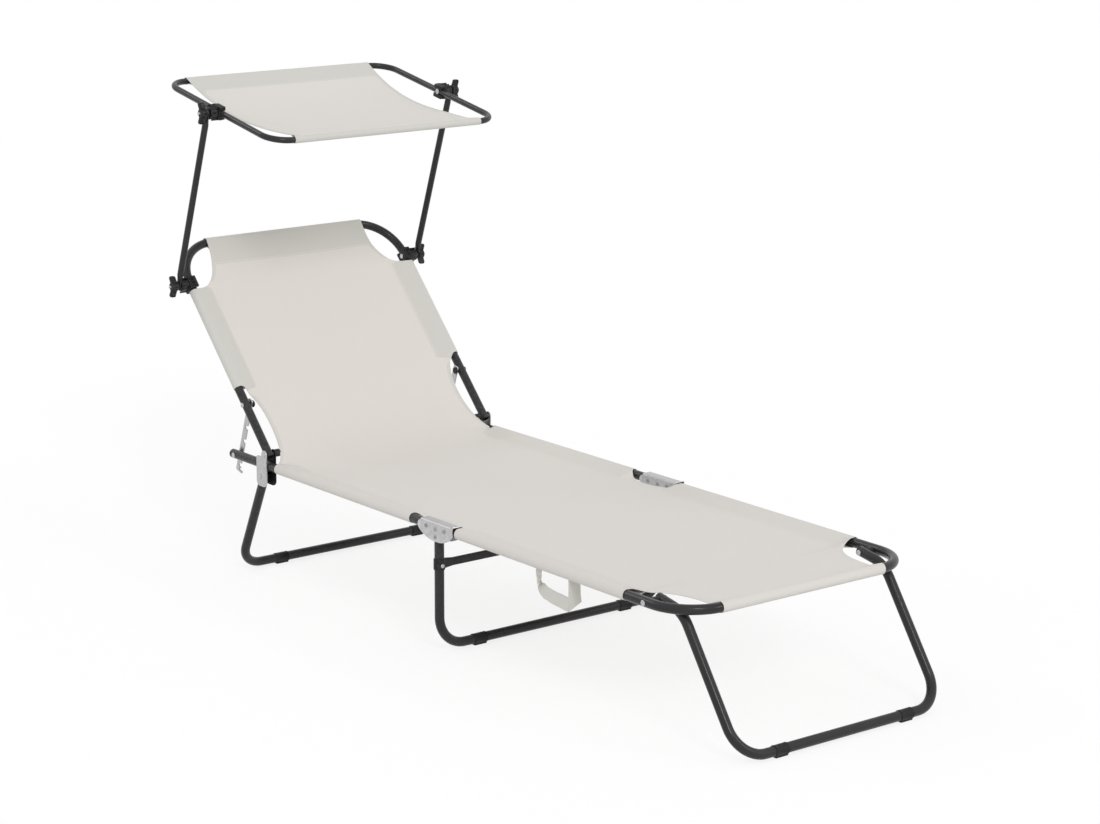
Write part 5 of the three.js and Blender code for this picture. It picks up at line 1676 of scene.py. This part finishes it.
def round_bar(step, outer, seam, flat_steps, close, under):
    """How far past a bar's centre line the cloth is after a step round it, how high, and its length so far.

    After the arc it runs back to the seam and closes up to the height that under gives there."""
    angle = math.pi * min(1.0, step / SLEEVE_ARC)
    back = max(0, step - SLEEVE_ARC) / flat_steps
    height = outer * math.cos(angle)
    height += (under(back) - height) * min(1.0, back / close)
    return outer * math.sin(angle) - seam * back, height, outer * angle + seam * back


def bar_sleeve(along, way, radius, seam):
    """The cloth round the top or foot bar, from the flat part's last row and back under it to its seam."""
    forward = back_way if way > 0 else seat_way

    def spot(row, column):
        edge = cloth_edge(along)[0]
        x = column_x(columns[column], edge)
        place, normal = deck_line(along, x)

        def under(back):
            return under_seam(along - way * seam * back, x, edge) - CLOTH / 2

        run, height, length = round_bar(row, radius + SLEEVE_OFF, seam, BAR_FLAT, HEM_CLOSE, under)
        place = place + normal * (height + CLOTH / 2) + forward * run + Vector((x, 0, 0))
        return place, x, along + way * length, SEWN

    return mapped_grid(SLEEVE_ARC + BAR_FLAT + 1, len(columns), spot)


# %% [markdown]
# Three pieces make up the cloth, because each may bend over only one joint: the backrest with the first
# half of the seat, the rest of the seat as far as the middle hinge, and the foot section. They meet
# edge to edge on flat stretches.

# %% Sew the three cloths
MERGE = 0.02 * MM
CUT_WIDTH = 2 * (RAIL_X + math.pi * RAIL_R / 2 + SEAM_IN)


def sewn(rows, bars=()):
    bm = flat_cloth(rows)
    for start, end in SLEEVES:
        held = [along for along in rows if start + MERGE >= along >= end - MERGE]
        if len(held) > 1:
            for name, side in SIDES:
                add_to(bm, side_sleeve(held, side))
    for bar in bars:
        add_to(bm, bar_sleeve(*bar))
    bmesh.ops.remove_doubles(bm, verts=bm.verts, dist=MERGE)
    return bm


def thicken(piece, thickness, offset):
    wall = piece.modifiers.new("thickness", "SOLIDIFY")
    wall.thickness = thickness
    wall.offset = offset


def area_of(bm):
    return sum(face.calc_area() for face in bm.faces)


back_cloth = sewn(back_rows, [(TOP_BAR, 1, BACK_R, TOP_SEAM_IN)])
seat_cloth = sewn(seat_rows)
foot_cloth = sewn(foot_rows, [(FOOT_BAR, -1, RAIL_R, FOOT_SEAM_IN)])
for name, bm in (("backrest", back_cloth), ("seat", seat_cloth), ("foot", foot_cloth)):
    print("Cloth of the", name, round(area_of(bm), 4), "square metres")

# %% Hang the three cloths
back_start = deck_corner + back_way * (PIVOT_ALONG + 100 * MM)
seat_start = Vector((0, SEAT_HINGE.y + 40 * MM, DECK_Z))
hinge_middle = Vector((0, HINGE_Y, DECK_Z))
cloth_plan = (
    (back_cloth, "backrest_cloth", ["back_sheet", "seat_sheet"], ("backrest", "seat_frame"),
     back_start, Vector((0, SEAT_SLEEVE_Y, DECK_Z)), TOP_BAR - SPLIT_SEAT + TOP_SEAM_IN,
     ["back_tube", "rail_tube_right", "rail_tube_left"]),
    (seat_cloth, "seat_cloth", ["seat_sheet"], ("seat_frame", "mid_hinge"),
     seat_start, hinge_middle, SPLIT_SEAT - SPLIT_HINGE,
     ["rail_tube_right", "rail_tube_left"]),
    (foot_cloth, "foot_cloth", ["foot_sheet"], ("mid_hinge", "foot_section"),
     hinge_middle, Vector((0, FOOT_SLEEVE_Y, DECK_Z)), SPLIT_HINGE - FOOT_BAR + FOOT_SEAM_IN,
     ["foot_tube"]),
)
for bm, name, nodes, joint_bodies, start, end, length, rests_on in cloth_plan:
    area = min(area_of(bm), CUT_WIDTH * length)
    piece = finish_piece(bm, name, "fabric", None, nodes, crisp=70)
    top = piece.data.polygons[0].normal
    thicken(piece, CLOTH, -1 if top.z > 0 or top.y < 0 else 1)
    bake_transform(piece)
print("Hung three cloths")

# %% [markdown]
# ## The canopy's cloth
# The canopy is a smaller cloth with a sleeve on its front bar and one on its back bar. Its sides are cut
# in long hollows, so that the pull of the frame keeps their edges tight. It sags a little. Just behind
# the front bar its sides are drawn in, more on the sitter's left than on the right.

# %% The canopy's curves
CANOPY_EDGE_X = CANOPY_X - CANOPY_CORNER - MM
CANOPY_DEPTH = 2 * CANOPY_HALF
CANOPY_SEAM = 50 * MM
CANOPY_SAG = 23 * MM
SAG_SKEW = 1.22
SAG_POWER = 1.1
BAR_POWER = 5
CANOPY_HOLLOW = 6 * MM
CANOPY_DIP = 3 * MM
FRONT_NIP = 24 * MM
FRONT_NIP_RUN = 120 * MM
FRONT_NIP_START = 8
FRONT_NIP_POWER = 1.5
RIGHT_NIP_SHARE = 0.45
canopy_outer = CANOPY_R + SLEEVE_OFF


def canopy_share(along):
    return min(1.0, max(0.0, along / CANOPY_DEPTH))


def canopy_edge(along, side):
    """Half the width of the canopy's cloth at a distance behind the front bar, on one side."""
    nip = max(0.0, along) / FRONT_NIP_RUN
    pinch = FRONT_NIP * smooth_step(nip * FRONT_NIP_START) * max(0.0, 1 - nip) ** FRONT_NIP_POWER
    hollow = CANOPY_HOLLOW * math.sin(math.pi * canopy_share(along))
    return CANOPY_EDGE_X - hollow - pinch * (1 if side > 0 else RIGHT_NIP_SHARE)


def canopy_sag(along):
    """The height along the middle: on top of both bars at its ends, and hanging between them."""
    share = canopy_share(along)
    on_bars = canopy_outer * abs(2 * share - 1) ** BAR_POWER
    return on_bars - CANOPY_SAG * math.sin(math.pi * share ** SAG_SKEW) ** SAG_POWER


print("The canopy hangs", round(-canopy_sag(CANOPY_HALF), 4), "m low halfway")

# %% Sew the canopy
CANOPY_CLOSE = 0.5
# The canopy's UV starts one metre along, past the ramp of the painted backlight, so its double bands take the
# painted shade in full.
CANOPY_START = 1
CANOPY_ROWS = 48
CANOPY_COLUMNS = 24
SLEEVE_STEPS = SLEEVE_ARC + SLEEVE_FLAT


def canopy_profile(step):
    """(distance behind the front bar, height, length along the cloth, distance past the seam)."""
    from_front = SLEEVE_STEPS - step
    from_back = step - SLEEVE_STEPS - CANOPY_ROWS
    if max(from_front, from_back) <= 0:
        along = CANOPY_DEPTH * -from_front / CANOPY_ROWS
        return along, canopy_sag(along), along, CANOPY_SEAM - (CANOPY_DEPTH - along)

    def under(back):
        seam_at = CANOPY_SEAM * back if from_front > 0 else CANOPY_DEPTH - CANOPY_SEAM * back
        return canopy_sag(seam_at) - CLOTH - UNDER_GAP

    run, height, length = round_bar(max(from_front, from_back), canopy_outer, CANOPY_SEAM, SLEEVE_FLAT,
                                    CANOPY_CLOSE, under)
    if from_front > 0:
        return -run, height, -length, SEWN
    return CANOPY_DEPTH + run, height, CANOPY_DEPTH + length, SEWN


def canopy_spot(row, column):
    along, height, length, past = canopy_profile(row)
    sideways = 2 * column / CANOPY_COLUMNS - 1
    edge = canopy_edge(along, sideways)
    x = sideways * edge
    dip = CANOPY_DIP * (1 - sideways ** 2) * math.sin(math.pi * canopy_share(along))
    place = Vector((x, along - CANOPY_HALF, height + CLOTH / 2 - dip))
    return place, x, length + CANOPY_START, max(past, abs(x) - edge + HEM)


canopy_cloth = mapped_grid(CANOPY_ROWS + 2 * SLEEVE_STEPS + 1, CANOPY_COLUMNS + 1, canopy_spot)
canopy_flat = (2 * CANOPY_EDGE_X, 2 * (CANOPY_HALF + math.pi * canopy_outer + CANOPY_SEAM))
canopy_area = min(area_of(canopy_cloth), canopy_flat[0] * canopy_flat[1])
canopy_piece = finish_piece(canopy_cloth, "canopy_cloth", "fabric", "canopy", ["canopy_sheet"], canopy_frame,
                            crisp=70)
thicken(canopy_piece, CLOTH, -1)
print("Canopy cloth", round(canopy_area, 4), "square metres")

# %% [markdown]
# ## The carry handle
# A loop of webbing hangs under the rail on the sitter's right. One strand twists as it comes down and
# turns along the rail, and the other is folded sharply at the corner and goes straight up. The strap is
# modelled directly, as a grid between two edges that are drawn point by point, in millimetres: in from
# the handle's outer face, towards the head from the fold, and above the floor.

# %% The webbing loop
HANDLE_X = -RAIL_X - 6.5 * MM
HANDLE_Y = FOOT_HINGE.y - 374 * MM
WEBBING = 1.5 * MM
STRAP_STEPS = 6
STRAP_CUTS = 2
STRAP_SMOOTH = 0.6
STRAP_ROW = 15 * MM
STRAP_WIDTH = 28 * MM

# The twisted strand and the stretch along the rail, down to the fold
LOWER_EDGE = ((9, 107, 245), (5, 101, 228), (1.5, 93, 212), (0, 88, 203), (0, 81, 196), (0, 72, 191),
              (0, 40, 186.5), (0, 0, 183))
UPPER_EDGE = ((1, 82, 245), (4, 84, 231), (9, 92, 221), (13, 96, 214), (12, 84, 215), (4, 65, 214.5),
              (0, 38, 213), (0, 0, 211))
# The folded strand, up from the fold
FOLDED_OUTER = ((0, 0, 183), (0, 0, 211), (0, 0, 245))
FOLDED_INNER = ((30, 0, 197), (28, 0, 211), (26, 0, 245))


def strap_point(spot):
    return Vector((HANDLE_X, HANDLE_Y, 0)) + Vector(spot) * MM


def strap_grid(first, second, smooth):
    def spot(row, column):
        share = column / STRAP_STEPS
        place = strap_point(first[row]).lerp(strap_point(second[row]), share)
        return place, share * STRAP_WIDTH, row * STRAP_ROW, -SEWN

    bm = mapped_grid(len(first), STRAP_STEPS + 1, spot)
    bmesh.ops.subdivide_edges(bm, edges=bm.edges[:], cuts=STRAP_CUTS, use_grid_fill=True, smooth=smooth)
    return bm


handle = strap_grid(LOWER_EDGE, UPPER_EDGE, STRAP_SMOOTH)
add_to(handle, strap_grid(FOLDED_OUTER, FOLDED_INNER, 0.0))
handle_piece = finish_piece(handle, "carry_loop", "webbing", "foot_section", ["carry_handle"], crisp=50)
thicken(handle_piece, WEBBING, 0)
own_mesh(handle_piece)

# %% [markdown]
# ## Floor and light
# The floor and the world look white to the camera and to reflections, and to everything else they are a
# soft pale light. Broad lamps add to it. The key lamp stands behind the camera and brightens the deck,
# and leaves a faint shadow on the floor. A weaker lamp shines from the foot end on the other side, and
# a third from behind the head, which draws the edges of the tubes.

# %% Floor
FLOOR_SIZE = 14
FLOOR_LIT_SHARE = 0.22
FLOOR_GLOW = 1.04
FLOOR_GREY = (0.9, 0.9, 0.9, 1)
WHITE = (1, 1, 1, 1)


def seen_directly(tree):
    """1 for rays from the camera, a mirror or glass, 0 for the light that fills the scene."""
    path = tree.nodes.new("ShaderNodeLightPath")
    seen = add_math(tree, "MAXIMUM", path.outputs["Is Camera Ray"], path.outputs["Is Glossy Ray"])
    return add_math(tree, "MAXIMUM", seen, path.outputs["Is Transmission Ray"])


floor_mesh = bmesh.new()
bmesh.ops.create_grid(floor_mesh, x_segments=1, y_segments=1, size=FLOOR_SIZE)
floor_data = bpy.data.meshes.new("floor")
floor_mesh.to_mesh(floor_data)
floor_mesh.free()
floor = bpy.data.objects.new("floor", floor_data)
bpy.context.scene.collection.objects.link(floor)

floor_material = bpy.data.materials.new("pale_floor")
floor_material.use_nodes = True
floor_tree = floor_material.node_tree
floor_tree.nodes.remove(floor_tree.nodes["Principled BSDF"])
matt = add_node(floor_tree, "ShaderNodeBsdfDiffuse", {"Color": FLOOR_GREY})
glow = add_node(floor_tree, "ShaderNodeEmission", {"Color": WHITE, "Strength": FLOOR_GLOW})
glow_share = add_math(floor_tree, "MULTIPLY", seen_directly(floor_tree), 1 - FLOOR_LIT_SHARE)
mix_inputs = {0: glow_share, 1: matt.outputs["BSDF"], 2: glow.outputs["Emission"]}
mix = add_node(floor_tree, "ShaderNodeMixShader", mix_inputs)
feed(floor_tree, floor_tree.nodes["Material Output"].inputs["Surface"], mix.outputs["Shader"])
floor_data.materials.append(floor_material)
print("Laid the floor")

# %% World and lamps
WORLD_LEVEL = 0.71
LAMP_DISTANCE = 2
# The way the light travels, its strength, and how many degrees wide it is
LAMPS = (
    ("key_light", (0.45, 1.25, -1.0), 0.76, 15),
    ("fill_light", (-0.7, 1.2, -0.8), 0.30, 12),
    ("rim_light", (0.5, -0.9, -0.8), 0.25, 12),
)

world = bpy.data.worlds.new("studio")
world.use_nodes = True
world_tree = world.node_tree
direct = add_math(world_tree, "MULTIPLY", seen_directly(world_tree), 1 - WORLD_LEVEL)
background = world_tree.nodes["Background"]
feed(world_tree, background.inputs["Strength"], add_math(world_tree, "ADD", WORLD_LEVEL, direct))
feed(world_tree, background.inputs["Color"], WHITE)
bpy.context.scene.world = world

for name, heading, strength, width in LAMPS:
    data = bpy.data.lights.new(name, "SUN")
    data.energy = strength
    data.angle = math.radians(width)
    lamp = bpy.data.objects.new(name, data)
    turn = Vector(heading).to_track_quat("-Z", "Y").to_matrix().to_4x4()
    lamp.matrix_world = Matrix.Translation(-LAMP_DISTANCE * Vector(heading)) @ turn
    bpy.context.scene.collection.objects.link(lamp)
bpy.context.scene.view_settings.view_transform = "Standard"
print("Set the light")

# %% [markdown]
# ## Finish
# Parts of the imported model that still show get their finish here, by the slot that the record names.

# %% Dress what is left
shown = [node for node in frame["nodes"].values() if not node.hide_render]
slot_of = {}
for entry in frame["record"]["materials"]:
    for node_name in entry.get("nodes", []):
        slot_of[node_name] = entry["slot"]
for node in shown:
    node.data.materials.clear()
    node.data.materials.append(finishes[slot_of.get(node.name, "steel")])
print("Packed parts that still show:", ", ".join(sorted(node.name for node in shown)) or "none")
